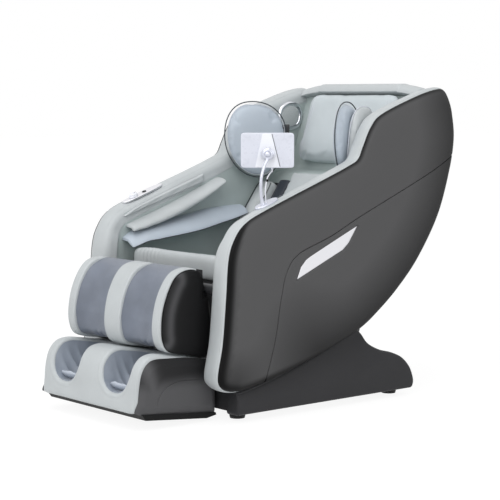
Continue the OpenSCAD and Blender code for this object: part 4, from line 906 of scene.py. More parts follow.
def make_wings():
    front = wing_frame(WING_TURN)
    put = lambda part: (turned(part[0], front, WING_MID), part[1])
    body = plump(tube(pillow(egg(72, -3), 30, 20)), 6, 4, 5, None, 0.01)
    knuckles = []
    pin = np.array([250 - math.sin(WING_TURN) * 118 + 8, 275 + math.cos(WING_TURN) * 118 + 14])
    a = np.linspace(0, 2 * np.pi, 28, endpoint=False)
    for z in (850, 931):
        h = np.array([0, 1.5, 4, 25, 27.5, 29])
        r = np.array([6.5, 8.4, 9, 9, 8.4, 6.5])
        ring = np.stack([pin[0] + r[:, None] * np.cos(a), pin[1] + r[:, None] * np.sin(a),
                         np.broadcast_to((z + h)[:, None], (6, 28))], 2)
        knuckles.append(tube(ring))
        reach = np.linspace(0, 32, 8)
        box = superbox(8, 25, 24, 0.3)
        run = np.array([math.cos(WING_TURN - math.pi / 2), math.sin(WING_TURN - math.pi / 2)])
        side = np.array([-run[1], run[0]])
        flat = pin + reach[:, None, None] * run + (box[:, :1] + 1)[None] * side
        knuckles.append(tube(np.concatenate([flat, np.broadcast_to((z + 14.5 + box[:, 1])[None, :, None],
                                                                   (8, 24, 1))], 2)))
    wings = (("wing_left",), ("wing_right",))
    bodies = ("wing_left", "wing_right")
    for thing in pair("wing", put(body), "blue_grey_leather", bodies, "blue_grey_leather", wings,
                      soft=0.9, levels=1):
        thing.data.materials.append(FINISH["wall_leather"])
        side = np.array([1 if thing.name == "wing_left" else -1, 1, 1])
        middles = np.array([p.center for p in thing.data.polygons]) / MM * side - WING_MID
        thing.data.polygons.foreach_set("material_index", (middles @ front[:, 2] > 0).astype(int))
    pair("wing_hinge", joined(*knuckles), "steel", bodies, "steel")
    rim = np.c_[egg(160, 0.5), np.full(160, 0.5)]
    pair("wing_piping", put(round_bar(rim, 2.2, 10, True)), piping_dark, bodies, "blue_grey_leather")
    rim = np.c_[egg(160, -7.5), np.full(160, -9.3)]
    pair("wing_seam", put(round_bar(rim, 1.0, 8, True)), piping_pale, bodies, "blue_grey_leather")


def make_air_cushions():
    """Pillow-shaped air cells behind the shoulder pads, welded flat round their rim."""
    turn = wing_frame(WING_TURN / 2)
    lean = np.array([[1, 0], [0.16, 1]])
    grid = pillow(superbox(146, 222, 64, 0.75) @ lean, 38, 20)
    body = plump(tube(grid), 7, 4, 4, None, 0.02)
    at = (WALL_X - 28.4, 306, 918)
    put = lambda part: (turned(part[0], turn, at), part[1])
    pair("shoulder_airbag", put(body), "grey_leather", "shell", "grey_leather", ("shoulder_airbags",),
         soft=1.0, levels=1)
    rim = np.c_[superbox(147, 223, 120, 0.75) @ lean, np.zeros(120)]
    pair("airbag_welt", put(round_bar(rim, 1.7, 8, True)), piping_pale, "shell", "grey_leather")


def make_speakers():
    """A bright D-shaped ring round a perforated face."""
    at = np.array([SHOULDER_Y + 319, TOP - 105])
    line = curve([(-62, -18), (-40, -50), (0, -56), (44, -40), (60, 4), (40, 44), (-8, 54), (-52, 30)], 14,
                 True) + at
    n = leftward(line, True)
    section = curve([(WALL_X - 0.3, 0), (WALL_X - 6, 0.6), (WALL_X - 9, 5), (WALL_X - 8.6, 11),
                     (WALL_X - 5, 16.5), (WALL_X - 0.3, 17)], 4, True)
    flat = line[:, None] + n[:, None] * section[None, :, 1:]
    ring = at_x(section[None, :, :1], flat)
    ring = np.vstack([ring, ring[:1]])
    pair("speaker_ring", tube(ring, caps=False), chrome, "shell", "white_plastic", ("speakers",))
    face_line = line + 15.5 * n
    deep = lambda p: WALL_X - 4.5 - 2.5 * rounding(away(p, loop(face_line)), 34, 1.8)
    pair("speaker_face", puck(face_line, (2, 6), 5, deep, WALL_X - 0.4), "grey_leather", "shell",
         "white_plastic")
    y, z = np.meshgrid(np.arange(-36, 37, 8.0), np.arange(-32, 33, 8.0))
    dots = np.stack([y.ravel() + (np.arange(y.size) // y.shape[1] % 2) * 4, z.ravel()], 1) + at
    dots = dots[inside(dots, line + 20 * n)]
    a = np.linspace(0, 2 * np.pi, 8, endpoint=False)
    x = deep(dots)
    r = np.array([2.0, 1.5, 0.6])
    lift = np.array([0.0, 0.5, 0.8])
    cups = [tube(np.stack([np.broadcast_to((x[k] - lift)[:, None], (3, 8)),
                           dots[k, 0] + r[:, None] * np.cos(a),
                           dots[k, 1] + r[:, None] * np.sin(a)], 2)) for k in range(len(dots))]
    pair("speaker_studs", joined(*cups), "wall_leather", "shell", "white_plastic")


make_wings()
make_air_cushions()
make_speakers()

# ---------------------------------------------------------------- arm blocks and arm channels
LIP_X = WALL_X - 0.3


def wall_flap(line, wide, drop, crown, thick, ends):
    """Padded flap on the wall, along a line in Y and Z: straight across with a sine crown, dropping
    towards its free edge, thick in the middle and rounded there. Returns its rings and that edge."""
    line = even(line, 100)
    s = np.linspace(0, 1, 100)
    e = (np.sin(math.pi * (ends[0] + (ends[1] - ends[0]) * s)) ** 0.4)[:, None]
    u = np.linspace(0, 1, 26)[None]
    t = thick * np.sqrt(1 - np.clip((u - 0.84) / 0.16, 0, 1) ** 2 * 0.97) * e / 2
    wave = 1.3 * np.sin(37 * s[:, None] + 3 * u) * u**2 * bump(s, 0.1, 0.14)[:, None]
    x = LIP_X - wide * (0.45 + 0.55 * e) * u
    z = line[:, 1:] - drop * e * u**1.2 + crown * np.sin(math.pi * u) + wave
    y = np.broadcast_to(line[:, :1], z.shape)
    outer, inner = np.stack([x, y, z + t], 2), np.stack([x, y, z - t], 2)
    return np.concatenate([outer, inner[:, ::-1]], 1), (outer[:, -1] + inner[:, -1]) / 2


def wall_lip(start, length, centre, a, b, thick, q0, q1, ends):
    """Padded lip on the wall: along Y, an arc of an ellipse round a rising centre, thick in the
    middle and rounded at its free edge. Returns the closed rings and the line of the free edge."""
    s = np.linspace(0, 1, 90)
    e = np.sin(math.pi * (ends[0] + (ends[1] - ends[0]) * s)) ** 0.38
    u = np.linspace(0, 1, 22)
    q = np.radians(q0 + (q1 - q0) * u)[None]
    t = thick * np.sqrt(1 - np.clip((u - 0.86) / 0.14, 0, 1) ** 2 * 0.96)[None] * e[:, None] / 2
    wave = 1.3 * np.sin(s[:, None] * 41 + 3 * u) * u[None] ** 2 * bump(s, 0.12, 0.14)[:, None]
    ax, bz = a(e)[:, None], b * e[:, None]
    out = lambda k: np.stack([np.minimum(LIP_X, LIP_X + (ax + k * t + wave) * np.cos(q)),
                              np.broadcast_to((start + length * s)[:, None], (90, 22)),
                              centre(s)[:, None] + (bz + k * t + wave) * np.sin(q)], 2)
    outer, inner = out(1), out(-1)
    return np.concatenate([outer, inner[:, ::-1]], 1), (outer[:, -1] + inner[:, -1]) / 2


def make_channels():
    upper, edge = wall_lip(FRONT + 142, 420, lambda s: ARM_H - 64 + 92 * s + 66 * s * s,
                           lambda e: 60 * (0.7 + 0.3 * e), 22, 14, 90, 205, (0.08, 0.93))
    pair("arm_channel_upper", tube(upper), "grey_leather", "shell", "grey_leather", ("arm_channel_upper",),
         soft=0.7, levels=1)
    pair("upper_lip_piping", round_bar(edge, 1.9, 8), piping_dark, "shell", "grey_leather")
    line = curve([(FRONT + 126, ARM_H - 98), (FRONT + 166, ARM_H - 76), (FRONT + 220, ARM_H - 60),
                  (FRONT + 305, ARM_H - 45), (FRONT + 423, ARM_H - 28), (FRONT + 513, ARM_H - 13),
                  (FRONT + 610, ARM_H - 4), (FRONT + 660, ARM_H - 2)], 12)
    lower, edge = wall_flap(line, 92, 46, 9, 16, (0.08, 0.94))
    pair("arm_channel_lower", tube(lower), "blue_grey_leather", "shell", "blue_grey_leather",
         ("arm_channel_lower",), soft=0.7, levels=1)
    pair("lower_lip_piping", round_bar(edge, 1.7, 8), piping_dark, "shell", "blue_grey_leather")


def make_arm_blocks():
    """Leather block on the wall under the arm: a grid between its top and bottom lines, 12 mm proud in
    the middle and rolled back at all its edges."""
    top = curve([(FRONT + 131, ARM_H + 7), (FRONT + 210, ARM_H + 44), tuple(ARM_B + (12, 4))], 30)
    top = even(top - 20 * leftward(top), 100)
    low = np.linspace((FRONT + 134, ARM_H - 17), ARM_B + (18, -45), 100)
    u = np.linspace(0, 1, 26)[None]
    s = np.linspace(0, 1, 100)[:, None]
    flat = top[:, None] * (1 - u[..., None]) + low[:, None] * u[..., None]
    edge = np.minimum(1 - (2 * np.abs(u - 0.5)) ** 7, 1 - (2 * np.abs(s - 0.5)) ** 26)
    puff = 1.2 * np.sin(26 * s + 2 * u) * bump(u, 0.6, 0.3)
    x = LIP_X - 0.4 - 11.5 * np.clip(edge, 0, 1) ** 0.5 - puff * edge
    grid = at_x(x[..., None], flat)
    wall = at_x(LIP_X, flat)
    rings = np.concatenate([grid, wall[:, ::-1]], 1)
    pair("armrest_pad", tube(rings), "grey_leather", "shell", "grey_leather", ("armrest_pads",), soft=0.8)
    up = np.tile([-1.0, 0, 0], (100, 1))
    pair("armrest_stitch", stitches(grid[:, 5], up), thread, "shell", "grey_leather")


make_channels()
make_arm_blocks()

# ---------------------------------------------------------------- controls and tablet holder
arm_left = np.array([-ARM_DIR[1], ARM_DIR[0]])
ARM_LIFT = -2.105


def on_arm(points, x, along):
    """Local points of a frame on an arm: +Y runs up the arm and +Z stands off it."""
    at = ARM_A + along * ARM_DIR + ARM_LIFT * arm_left
    flat = at + points[..., 1:2] * ARM_DIR + points[..., 2:] * arm_left
    return np.concatenate([x + points[..., :1], flat], -1)


def lathe(profile, count=40):
    """A profile of radii and heights turned about Z."""
    a = np.linspace(0, 2 * np.pi, count, endpoint=False)
    r, z = np.asarray(profile, float).T
    return np.stack([r[:, None] * np.cos(a), r[:, None] * np.sin(a),
                     np.broadcast_to(z[:, None], (len(r), count))], 2)


def plate(outline, low, high, edge):
    """Plate between two levels, its rim a quarter circle of the radius `edge`, drawn in along the
    outline's normals."""
    q = np.radians(np.linspace(0, 90, 7))
    inset = np.r_[0.3, 0, edge * (1 - np.cos(q)), edge * 1.6]
    z = np.r_[low, low + 0.4, high - edge + edge * np.sin(q), high]
    flat = outline[None] + inset[:, None, None] * leftward(outline, True)[None]
    return np.concatenate([flat, np.broadcast_to(z[:, None, None], flat.shape[:2] + (1,))], 2)


def make_controls():
    """Silver plate on the sitter's right arm with a ribbed knob and a dark button."""
    x, along = -350, 20
    outline = even(superbox(46, 180, 200, 0.7), 140, True) + (0, 18)
    piece("control_plate", tube(on_arm(plate(outline, 0, 7, 2.2), x, along)), "silver_plate", "shell",
          "silver_plate", ("control_plate",))
    knob = lathe([(15, 7.2), (16.5, 7.6), (17, 8.6), (16.8, 11), (16.3, 17), (15.6, 19), (13.8, 20.1),
                  (10, 20.1), (8.5, 19.4), (3, 19.2)], 96)
    a = np.linspace(0, 2 * np.pi, 96, endpoint=False)
    ribs = 1 - 0.02 * (np.cos(24 * a) > 0)[None] * np.isin(np.arange(10), (3, 4))[:, None]
    knob[..., :2] *= ribs[..., None]
    piece("control_knob", tube(on_arm(knob + (0, -22, 0), x, along)), "white_plastic", "control_knob",
          "white_plastic", ("control_knob",))
    mark = plate(superbox(1.6, 8, 24, 0.5), 19.2, 20.5, 0.3) + (0, -11, 0)
    piece("knob_mark", tube(on_arm(mark, x, along)), "dark_plastic", "control_knob", "white_plastic")
    button = lathe([(7.4, 3.9), (8, 4.4), (8, 8.4), (7.5, 9.3), (6.2, 9.7), (2, 9.4)], 48)
    piece("control_button", tube(on_arm(button + (0, 28, 0), x, along)), "dark_plastic", "control_button",
          "dark_plastic", ("control_button",))


TABLET_X = 345
STALK_FOOT = ARM_A + 18 * ARM_DIR
BALL = np.r_[TABLET_X, STALK_FOOT + (20, 169)]
TABLET_TURN = math.radians(50)
tablet_axes = np.array([[math.cos(TABLET_TURN), -math.sin(TABLET_TURN), 0],
                        [math.sin(TABLET_TURN), math.cos(TABLET_TURN), 0], [0, 0, 1]])


def upright(rings):
    """A lathe form laid down, so that its axis runs away along the tablet's +Y."""
    return np.stack([rings[..., 0], rings[..., 2], -rings[..., 1]], 2)


def make_tablet():
    """Oval foot, bent stalk with a ball, ring joint, and a tablet with a folding flap."""
    put = lambda p: turned(p, tablet_axes, BALL)
    outline = even(superbox(46, 96, 160, 0.9), 110, True)
    foot = tube(on_arm(plate(outline, 0, 8, 4.5), TABLET_X, 34))
    bends = np.array([(0, 1), (-7, 33), (-9, 68), (-5, 101), (6, 131), (17, 149), (20, 164)])
    stalk = even(curve(STALK_FOOT + bends, 10), 60)
    spread = 5 + 5 * np.exp(-np.linspace(0, 14, 60))
    stem = round_bar(np.c_[np.full(60, TABLET_X), stalk], spread, 24)
    q = np.radians(np.linspace(-88, 88, 24))
    ball = lathe(np.c_[11 * np.cos(q), 11 * np.sin(q)], 36)
    ball[..., 2] = np.minimum(ball[..., 2], 7)
    piece("tablet_stand", joined(foot, stem, tube(put(upright(ball)))), pearl, "shell", "white_plastic",
          ("tablet_stand",))
    ring = lathe([(9.6, -3), (10.4, -5.6), (12.4, -6), (15.6, -5.2), (17.4, -3), (17.8, 3), (17, 5),
                  (17.4, 6.6), (20.6, 8), (21, 10), (21, 15), (19.8, 17.2), (11, 17.5)], 56)
    pin = round_bar(np.stack([np.linspace(-24, 24, 9), np.full(9, 17.0), np.zeros(9)], 1), 4, 20)
    piece("tablet_joint", joined(tube(put(upright(ring))), (put(pin[0]), pin[1])), pearl, "tablet_joint",
          "white_plastic", ("tablet_joint",))

    outline = even(superbox(176, 116, 400, 0.12), 220, True)
    n = leftward(outline, True)
    inset = np.array([9, 3.2, 1.3, 0.3, 0, 0, 0.3, 1.3, 3.2, 9])
    y = np.array([24, 24, 24.5, 25.8, 27.6, 32.4, 34.2, 35.5, 36, 36])
    flat = outline[None] + inset[:, None, None] * n[None]
    body = np.stack([flat[..., 0], np.broadcast_to(y[:, None], flat.shape[:2]), flat[..., 1] + 12], 2)
    box = superbox(6, 12, 20, 0.25)
    reach = np.linspace(11, 25, 8)[:, None]
    lugs = [tube(put(np.stack(np.broadcast_arrays(box[:, 0] + x, reach, box[:, 1]), 2))) for x in (-21, 21)]
    plug = round_bar([(15.1, 30.2, z) for z in (-50.2, -49.6, -48, -46, -44)], 3.2, 16)
    piece("tablet", joined(tube(put(body)), (put(plug[0]), plug[1]), *lugs), tablet_shell, "tablet",
          "white_plastic", ("tablet",))
    # folding flap on the back: a plate that widens downwards, with painted shade down its long side: a grey
    # bar in the gap
    corners = np.array([(-17, 67.5), (-41, -43.5), (40, -43.5), (13, 67.5)])
    edge = even(straight(corners, 30), 120, True)
    rim = np.stack([edge + d * leftward(edge, True) for d in (0, 0.3, 1.0)])
    depth = np.array([24.1, 24.0, 23.97])[:, None] + np.zeros((1, 120))
    flap = tube(put(np.stack([rim[..., 0], depth, rim[..., 1]], 2)))
    piece("tablet_flap", flap, "white_plastic", "tablet", "white_plastic")
    gap = np.linspace((14.6, 66), (41.6, -42), 30)
    groove = round_bar(np.c_[gap[:, 0], np.full(30, 24.0), gap[:, 1]], 1.1, 8)
    piece("tablet_gap_painted_shade", (put(groove[0]), groove[1]), "grey_plastic", "tablet", "white_plastic")


# Centreline of the cable, in metres, from the foot of the holder to the tablet's lower edge
CABLE_DIAMETER = 0.004
CABLE_ROUTE = [(0.349, -0.186, 0.7177), (0.350, -0.190, 0.745), (0.349, -0.187, 0.775),
               (0.345, -0.176, 0.800),
               (0.337, -0.157, 0.814), (0.3316, -0.14505, 0.81865), (0.3316, -0.14505, 0.82565)]


def make_cable():
    line = curve(CABLE_ROUTE, 14)
    cable = piece("tablet_cable", round_bar(line / MM, CABLE_DIAMETER / MM / 2, 14), "white_plastic", "shell",
                  "white_plastic", ("tablet_cable",))
    # a short dark band round the cable, 8 mm long, about two thirds of the way up
    clip_at = np.array([349, -181, 790.0])
    clip = round_bar(clip_at + np.linspace(-4, 4, 7)[:, None] * np.array([0, 0.25, 0.97]), 3.4, 16)
    piece("cable_dark_band", clip, "dark_plastic", "shell", "white_plastic")


make_cable()
make_controls()
make_tablet()

# ---------------------------------------------------------------- leg rest
LEG_BACK = -408.0
CALF_HALF = 262.0
RIDGE_MID, WELL_IN, WELL_OUT = 45.0, 45.3, 221.7
CALF = [(LEG_BACK, 225), (-464, 232), (-520, 241), (-548, 257), (-562, 289), (-565, 330), (-557, 384),
        (-541, 431), (-515, 475), (-484, 502), (-440, 512), (LEG_BACK, 506)]


def make_ridges():
    """Leather ridges: the calf line carried across, drawn in along its normals by a superellipse near
    both sides, with a pressed seam line 7 mm in from each edge."""
    line = even(curve(CALF, 14), 130)
    n = leftward(line)
    for name, x0, x1 in (("calf_ridge_middle", -RIDGE_MID, RIDGE_MID),
                         ("calf_ridge_outer", CALF_HALF - 40, CALF_HALF)):
        u = np.sin(np.linspace(-1, 1, 37) * math.pi / 2)
        half = (x1 - x0) / 2
        side = half * (1 - np.abs(u))
        drop = 8 * (1 - rounding(side, 9)) + 1.1 * bump(side, 9, 1.2) + 0.9 * bump(side, 13, 1.2)
        x = (x0 + x1) / 2 + half * u
        back = np.minimum(line[None] - drop[:, None, None] * n[None], (LEG_BACK, 1e4))
        grid = at_x(x[:, None, None], back)
        part = tube(grid)
        if x0 < 0:
            piece(name, part, "grey_leather", "legrest", "grey_leather", ("calf_ridges",), soft=0.8)
        else:
            pair(name, part, "grey_leather", "legrest", "grey_leather", ("calf_ridges",), soft=0.8)


def make_calf_wells():
    """Elastic cloth sunk between the ridges: the trough's depth rises and falls smoothly up the leg and
    by a power of the width across it. Creases spread like a fan from the bottom middle."""
    line = even(curve([(-425, 234), (-500, 241), (-546, 263), (-561, 328), (-552, 384), (-534, 434),
                       (-505, 476), (-470, 500), (-430, 510), (LEG_BACK - 3, 508)], 14), 150)
    s = np.linspace(0, 1, 150)[:, None]
    u = np.linspace(-1, 1, 70)[None]
    deep = 44 * smooth((s - 0.1) / 0.42) * smooth((1.0 - s) / 0.4)
    far = np.hypot(88 * u, 330 * (s - 0.11))
    fan = np.arctan2(88 * u, 330 * (s - 0.11) + 1e-6)
    crease = 2.2 * np.sin(9 * fan) * bump(far, 36, 22) + 1.2 * np.sin(6 * fan + 1) * bump(far, 64, 26)
    crease = crease + 0.6 * np.sin(16 * s + 2.2 * u) * bump(s, 0.75, 0.2)
    d = 1 + 4 * smooth((1 - s) / 0.15) + deep * (1 - np.abs(u) ** 2.4) + crease * (1 - u**6)
    n = -leftward(line)
    x = (WELL_IN + WELL_OUT) / 2 + (WELL_OUT - WELL_IN) / 2 * u
    grids = []
    for k in (0, 9):
        flat = line[:, None] + n[:, None] * (d + k)[..., None]
        grids.append(at_x(x[..., None], flat))
    rings = np.concatenate([grids[0], grids[1][:, ::-1]], 1)
    pair("calf_well", tube(rings), "slate_fabric", "legrest", "slate_fabric", ("calf_liners",), soft=0.5)


POD_BACK = 262.4
POD_MID = np.array([-440, 368.0])


def make_pods():
    """Glossy side pods: copies of the outline shrink to the middle while they rise as a superellipse,
    and two fine creases run back from the front edge."""
    line = even(curve([(-356, 227), (-464, 235), (-524, 247), (-548, 281), (-552, 330), (-545, 384),
                       (-524, 440), (-496, 484), (-455, 503), (-412, 500), (-387, 474), (-385, 440),
                       (-383, 412), (-362, 396)], 12, True), 130, True)
    k = np.sin(np.linspace(1, 0.02, 36) * math.pi / 2) ** 0.6
    flat = POD_MID + (line - POD_MID)[None] * k[:, None, None]
    x = POD_BACK + 12.6 * (1 - k[:, None] ** 7) ** (1 / 2.4) + np.zeros((1, 130))
    spots = flat.reshape(-1, 2)
    for crease in ([(-560, 408), (-505, 366)], [(-560, 414), (-520, 398)]):
        d = away(spots, np.array(crease, float)).reshape(x.shape)
        x = x - 0.9 * np.exp(-(d / 2.6) ** 2) * (k[:, None] < 0.995)
    pods = tube(at_x(np.maximum(x, POD_BACK)[..., None], flat))
    # painted highlight: a light band about 27 mm in from the front edge, near-black elsewhere
    glow = lambda p: 0.1 + 0.9 * bump(away(p, line[(line[:, 0] < -500) & (line[:, 1] > 280)]), 27, 15)
    shaded(pair("calf_pod", pods, pod_black_painted_highlight, "legrest", "black_leather", ("calf_pods",), soft=0.9), glow)
    rim = np.c_[np.full(130, 263.6), line + 0.8 * leftward(line, True)]
    pair("pod_piping", round_bar(rim, 1.5, 8, True), "dark_plastic", "legrest", "black_leather")


make_ridges()
make_calf_wells()
make_pods()

# ---------------------------------------------------------------- foot box
FOOT_LINE = [(-662, 58), (-668, 66), (-664, 108), (-660, 150), (-646, 200), (-618, 232), (-582, 242),
             (-540, 238), (-470, 226), (-390, 212), (-352, 204)]
FOOT_HALF = 267.7
FOOT_BACK = [(-344, 202), (-340.5, 194), (-340, 120), (-340, 30)]
WELL_MID, WELL_HALF = 144.0, 77.5


def board(outline, holes, step, depths, front, back):
    """Closed plate with holes. Points of a plane region, drawn closer by the depths along its rims, are
    joined by Delaunay triangles; `front` and `back` carry them to its two faces."""
    lines = [outline] + list(holes)
    rings = []
    for k, line in enumerate(lines):
        n = leftward(line, True) * (1 if k == 0 else -1)
        rings += [line + d * n for d in (0.0,) + tuple(depths)]
    low, high = outline.min(0), outline.max(0)
    a, b = np.meshgrid(np.arange(low[0] + step / 2, high[0], step),
                       np.arange(low[1] + step / 2, high[1], step))
    grid = np.stack([a.ravel(), b.ravel()], 1)
    grid = grid[inside(grid, outline)]
    for line in lines:
        grid = grid[away(grid, loop(line)) > depths[-1] + step * 0.4]
    for line in holes:
        grid = grid[~inside(grid, line)]
    points = np.vstack(rings + [grid])
    keep = inside(points, outline + 1e-3 * -leftward(outline, True))
    for line in holes:
        keep &= ~inside(points, line + 1e-3 * leftward(line, True))
    points = points[keep]
    edges = []
    index = {tuple(np.round(p, 4)): i for i, p in enumerate(points)}
    for line in lines:
        ids = [index[tuple(np.round(p, 4))] for p in line]
        edges += list(zip(ids, ids[1:] + ids[:1]))
    flat, faces = triangles(points, edges)
    middle = flat[faces].mean(1)
    for line in holes:
        good = ~inside(middle, line)
        faces, middle = faces[good], middle[good]
    return two_faced(front(flat), back(flat), faces)


foot_path = np.vstack([even(curve(FOOT_LINE, 12), 200), curve(FOOT_BACK, 6)[1:]])
foot_run = np.r_[0, np.cumsum(np.linalg.norm(np.diff(foot_path, axis=0), axis=1))]
foot_inward = -leftward(foot_path)
FOOT_TOP_END = foot_run[199]


def on_foot(x, u, sink):
    """Point of the foot box: across it, along its outline, and sunk under that outline."""
    here = [np.interp(u, foot_run, foot_path[:, k]) + sink * np.interp(u, foot_run, foot_inward[:, k])
            for k in (0, 1)]
    return np.stack([x, here[0], here[1]], -1)


def run_at(y, z):
    """Length along the foot outline at its point nearest to a place."""
    return foot_run[np.argmin(np.hypot(foot_path[:, 0] - y, foot_path[:, 1] - z))]


WELL_LIP, WELL_END = run_at(-665, 112), run_at(-424, 218)


def well_outline(count, grow=0.0):
    """Mouth of a foot well on the unrolled outline: half an ellipse below, straight sides, and a flat
    half superellipse at the heel."""
    a = np.linspace(0, 2 * np.pi, count * 4, endpoint=False)
    w = WELL_HALF + grow
    low, high = WELL_LIP - grow, WELL_END + grow
    mid = low + 78
    u = mid + np.where(np.sin(a) < 0, (mid - low) * power(np.sin(a), 1.0),
                       (high - mid) * power(np.sin(a), 0.35))
    x = WELL_MID + w * power(np.cos(a), 0.75) * (1 - 0.05 * (np.sin(a) < 0) * np.abs(np.sin(a)))
    return even(np.stack([x, u], 1), count, True)


def make_foot_cover():
    """Leather shell over the foot box, 16 mm thick, with the mouths of both wells rolled inwards. Its
    sides are rolled by 7 mm, and a double seam runs round each mouth."""
    end = foot_run[-1] - 1.0
    box = np.array([(-FOOT_HALF, 0.5), (FOOT_HALF, 0.5), (FOOT_HALF, end), (-FOOT_HALF, end)])
    outline = straight(box, 90)
    mouth = well_outline(150)
    holes = [mouth, (mouth * (-1, 1))[::-1]]

    def sunk(p):
        d = np.minimum(away(p, loop(holes[0])), away(p, loop(holes[1])))
        side = FOOT_HALF - np.abs(p[:, 0])
        seam = 0.9 * (bump(d, 17, 1.1) + 0.8 * bump(d, 21, 1.1)) * (p[:, 1] < WELL_END - 30)
        full = 1.6 * smooth((d - 18) / 60) * smooth(side / 40) * (p[:, 1] < FOOT_TOP_END)
        roll = 6 * (1 - rounding(side, 7)) + 9 * (1 - rounding(side,
                                                               30)) * smooth((FOOT_TOP_END - p[:, 1]) / 90)
        return 15 * (1 - rounding(d, 15)) + roll + seam - full * 0.6

    part = board(outline, holes, 11, (1.2, 2.6, 4.6, 7.5, 11, 15, 16.4, 17.6, 19, 20.4, 21.6, 23),
                 lambda p: on_foot(p[:, 0], p[:, 1], sunk(p)),
                 lambda p: on_foot(p[:, 0], p[:, 1], np.maximum(18, sunk(p) + 3)))
    piece("foot_cover", part, "grey_leather", "footrest", "grey_leather", ("foot_cover",), soft=0.8)


def make_foot_cups():
    """Cloth cup in each well: its mouth sinks to the floor by a power of the distance from the middle,
    and its underside is the same surface, 5 mm lower. Sharp pleats cross it, and a shiny toe pad lies
    at its front."""
    mouth = well_outline(120, -1.5)
    rim = on_foot(mouth[:, 0], mouth[:, 1], np.full(120, 10.0))
    mid = np.array([WELL_MID, -540, 0])
    r = np.linspace(1, 0.02, 60)[:, None]
    plan = mid[None, None, :2] + (rim[None, :, :2] - mid[None, None, :2]) * r[..., None]
    x, y = plan[..., 0], plan[..., 1]
    floor = 108 + 0.05 * (-540 - y)
    z = floor + (rim[None, :, 2] - floor) * r**3.2
    across = (x - WELL_MID) / WELL_HALF
    bend = y + 26 * across**2 + 12 * across
    fold = sum(h * (np.abs(np.sin((bend - at) / w * math.pi / 2 + math.pi / 2)) ** 7)
               * (np.abs(bend - at) < w)
               for at, w, h in ((-592, 20, 12), (-562, 24, 20), (-524, 26, 24), (-484, 24, 18)))
    wall = np.clip(1 - r**6, 0, 1)
    z = z + fold * wall * np.clip(1.3 - np.abs(across) ** 3, 0, 1)
    bowl = np.stack([x, y, z], 2)
    under = bowl - (0, 0, 5.0)
    pair("foot_cup", tube(np.concatenate([bowl[::-1], under], 0)), cup_cloth, "footrest", "slate_fabric",
         ("foot_liners",), soft=0.5)
    toe = pillow(superbox(118, 88, 96, 0.8), 22, 26)
    s = np.sin(toe[..., 0] * 0.11 + toe[..., 1] * 0.09) * 3.2
    s = s + 2 * np.sin(toe[..., 0] * 0.23 - toe[..., 1] * 0.12 + 1)
    s = s * (toe[..., 2] > 0) * bump(np.hypot(toe[..., 0], toe[..., 1]), 0, 44)
    toe = np.stack([WELL_MID + toe[..., 0], -618 + toe[..., 1] * 0.62 - toe[..., 2] * 0.3,
                    120 + toe[..., 2] - toe[..., 1] * 0.42 + s], 2)
    pair("toe_pad", tube(toe), toe_cloth, "footrest", "slate_fabric", soft=0.7, levels=1)


def make_foot_sides():
    """Black side covers on the foot line, which is drawn in by 13 mm at the front, with an arc groove
    round a slightly sunk low front field. The line runs clockwise, so the plate's rim copies fall
    outside it and the rim is a straight bevel about 19 mm wide, not a rounded one."""
    line = np.vstack([curve([(-646, 52), (-660, 60), (-667, 70), (-659, 150), (-645, 200), (-617, 231),
                             (-582, 241), (-540, 237), (-470, 225), (-390, 211), (-346, 202)], 10),
                      curve([(-342, 190), (-340, 120), (-340, 34), (-348, 28)], 6)])
    line = even(line, 240, True)
    drawn = smooth((-430 - line[:, :1]) / 150) * smooth((line[:, 1:] - 62) / 40)
    line = line - 13 * leftward(line, True) * drawn
    arc = curve([(-586, 62), (-574, 107), (-546, 133), (-501, 148), (-452, 148), (-386, 142)], 14)
    field = np.vstack([arc, [(-386, 36), (-586, 36)]])

    def height(p):
        d = away(p, loop(line))
        fade = smooth((-388 - p[:, 0]) / 40)
        groove = 2.4 * np.exp(-(away(p, arc) / 1.6) ** 2) * fade
        sunk = 1.2 * smooth(away(p, arc) / 8) * inside(p, field) * fade
        return 268.2 + 12.6 * rounding(d, 20, 2) - groove - sunk

    marks = [arc[6:-4] + k * leftward(arc)[6:-4] for k in (-3.2, -1.5, 0, 1.5, 3.2)]
    part = puck(line, (0.8, 2, 4, 7, 11, 16), 7, height, 268.1, marks)
    # painted shade and painted highlight: darker above about 180 mm, with a lighter slanting band near the
    # front
    dim = lambda p: 0.2 + 0.8 * np.maximum(smooth((178 - p[:, 1]) / 60),
                                           bump(p[:, 0] + 0.3 * p[:, 1], -560, 30))
    shaded(pair("foot_side", part, side_cover_painted_light, "footrest", "black_plastic", ("foot_sides",)), dim)


make_foot_cover()
make_foot_cups()
make_foot_sides()


# ---------------------------------------------------------------- base covers and rear shell
BASE_FRONT, BASE_REAR, BASE_CLEAR = -324.0, 496.0, 25.0
BASE_IN, BASE_OUT = 312.5, 372.0
TILT_Y, PEAK = 240.0, 262.0
SKIRT_TOP = 82     # point of the shell line where the skirts end and the rear shell starts


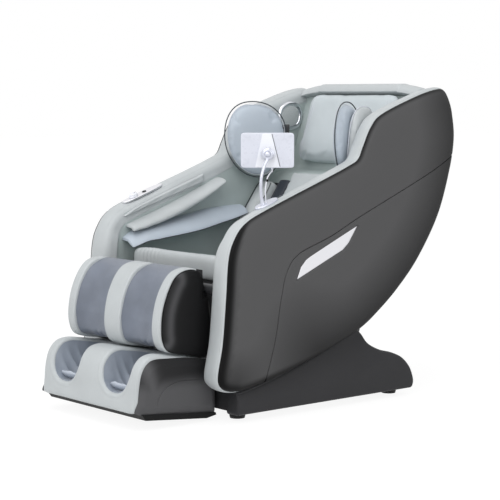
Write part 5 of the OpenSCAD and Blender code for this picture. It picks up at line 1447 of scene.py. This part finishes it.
def make_base_covers():
    """Moulded covers along the floor: the upper face leans inwards from a soft ridge, the lower face is
    upright, and a fine groove follows the upper edge."""
    top = curve([(BASE_FRONT, BOTTOM - 6), (FRONT + 170, BOTTOM + 6), (FRONT + 255, BOTTOM + 25),
                 (FRONT + 343, BOTTOM + 48), (FRONT + 479, BOTTOM + 90), (FRONT + 560, BOTTOM + 121),
                 (TILT_Y - 45, PEAK - 14), (TILT_Y, PEAK)], 12)
    tail = curve([(TILT_Y, PEAK), (TILT_Y + 22, PEAK - 22), (TILT_Y + 46, 204), (333, 178),
                  (BASE_REAR - 112, 164),
                  (BASE_REAR - 60, 141), (BASE_REAR - 20, 104), (BASE_REAR, 58), (BASE_REAR - 3, 33),
                  (BASE_REAR - 12, BASE_CLEAR)], 12)
    foot = np.array([(BASE_FRONT + 4, BASE_CLEAR), (BASE_FRONT, BASE_CLEAR + 5)])
    line = even(np.vstack([foot[:1], np.linspace(foot[0], tail[-1], 60)[1:-1], tail[::-1], top[-2::-1],
                           foot[1:]]),
                420, True)
    ridge = curve([(BASE_FRONT - 10, 72), (-186, 70), (-7, 76), (179, 97), (275, 125), (350, 148),
                   (BASE_REAR, 166)], 12)

    def height(p):
        d = away(p, loop(line))
        up = p[:, 1] - np.interp(p[:, 0], ridge[:, 0], ridge[:, 1])
        lean = 24 * np.clip(up, 0, 200) / 90 * smooth(up / 16)
        under = 2.5 * smooth(-up / 50)
        groove = 1.6 * bump(away(p, top), 10, 1.3) * smooth((TILT_Y - 20 - p[:, 0]) / 40)
        return BASE_OUT - np.minimum(lean, 34) - under - groove - 9 * (1 - rounding(d, 9))

    part = puck(line, (0.8, 2, 4, 6.5, 8.5, 9.5, 10.5, 12), 11, height, BASE_IN + 0.3, (ridge,))
    pair("base_cover", part, "black_plastic", "base", "black_plastic",
         (("base_cover_left",), ("base_cover_right",)))


def make_rear():
    """Rear shell and its two skirts: the shell line, 3 mm in, carried across with a slight crown and
    6 mm of thickness."""
    n = leftward(shell, True)
    outer, inner = PANEL_X - 0.4, WALL_X + 0.3
    for name, rows, x0 in (("rear_shell", slice(SKIRT_TOP, HOOP_START + 1), -outer),
                           ("rear_skirt", slice(HOOP_END - 3, SKIRT_TOP + 1), inner)):
        path, out = shell[rows], n[rows]
        x = np.linspace(x0, outer, 41 if x0 < 0 else 9)
        edge = rounding((outer - x0) / 2 - np.abs(x - (x0 + outer) / 2), 6)
        crown = 2.2 * (1 - np.abs(x / PANEL_X) ** 6) + 1.5 * (edge - 1)
        rings = []
        for depth in (3 - crown, np.full(len(x), 9.0)):
            flat = path[:, None] + out[:, None] * depth[None, :, None]
            rings.append(at_x(x[None, :, None], flat))
        part = tube(np.concatenate([rings[0], rings[1][:, ::-1]], 1))
        if x0 < 0:
            piece(name, part, "black_plastic", "shell", "black_plastic", ("back_shell",))
        else:
            pair(name, part, "black_plastic", "shell", "black_plastic", ("back_shell",))


make_base_covers()
make_rear()
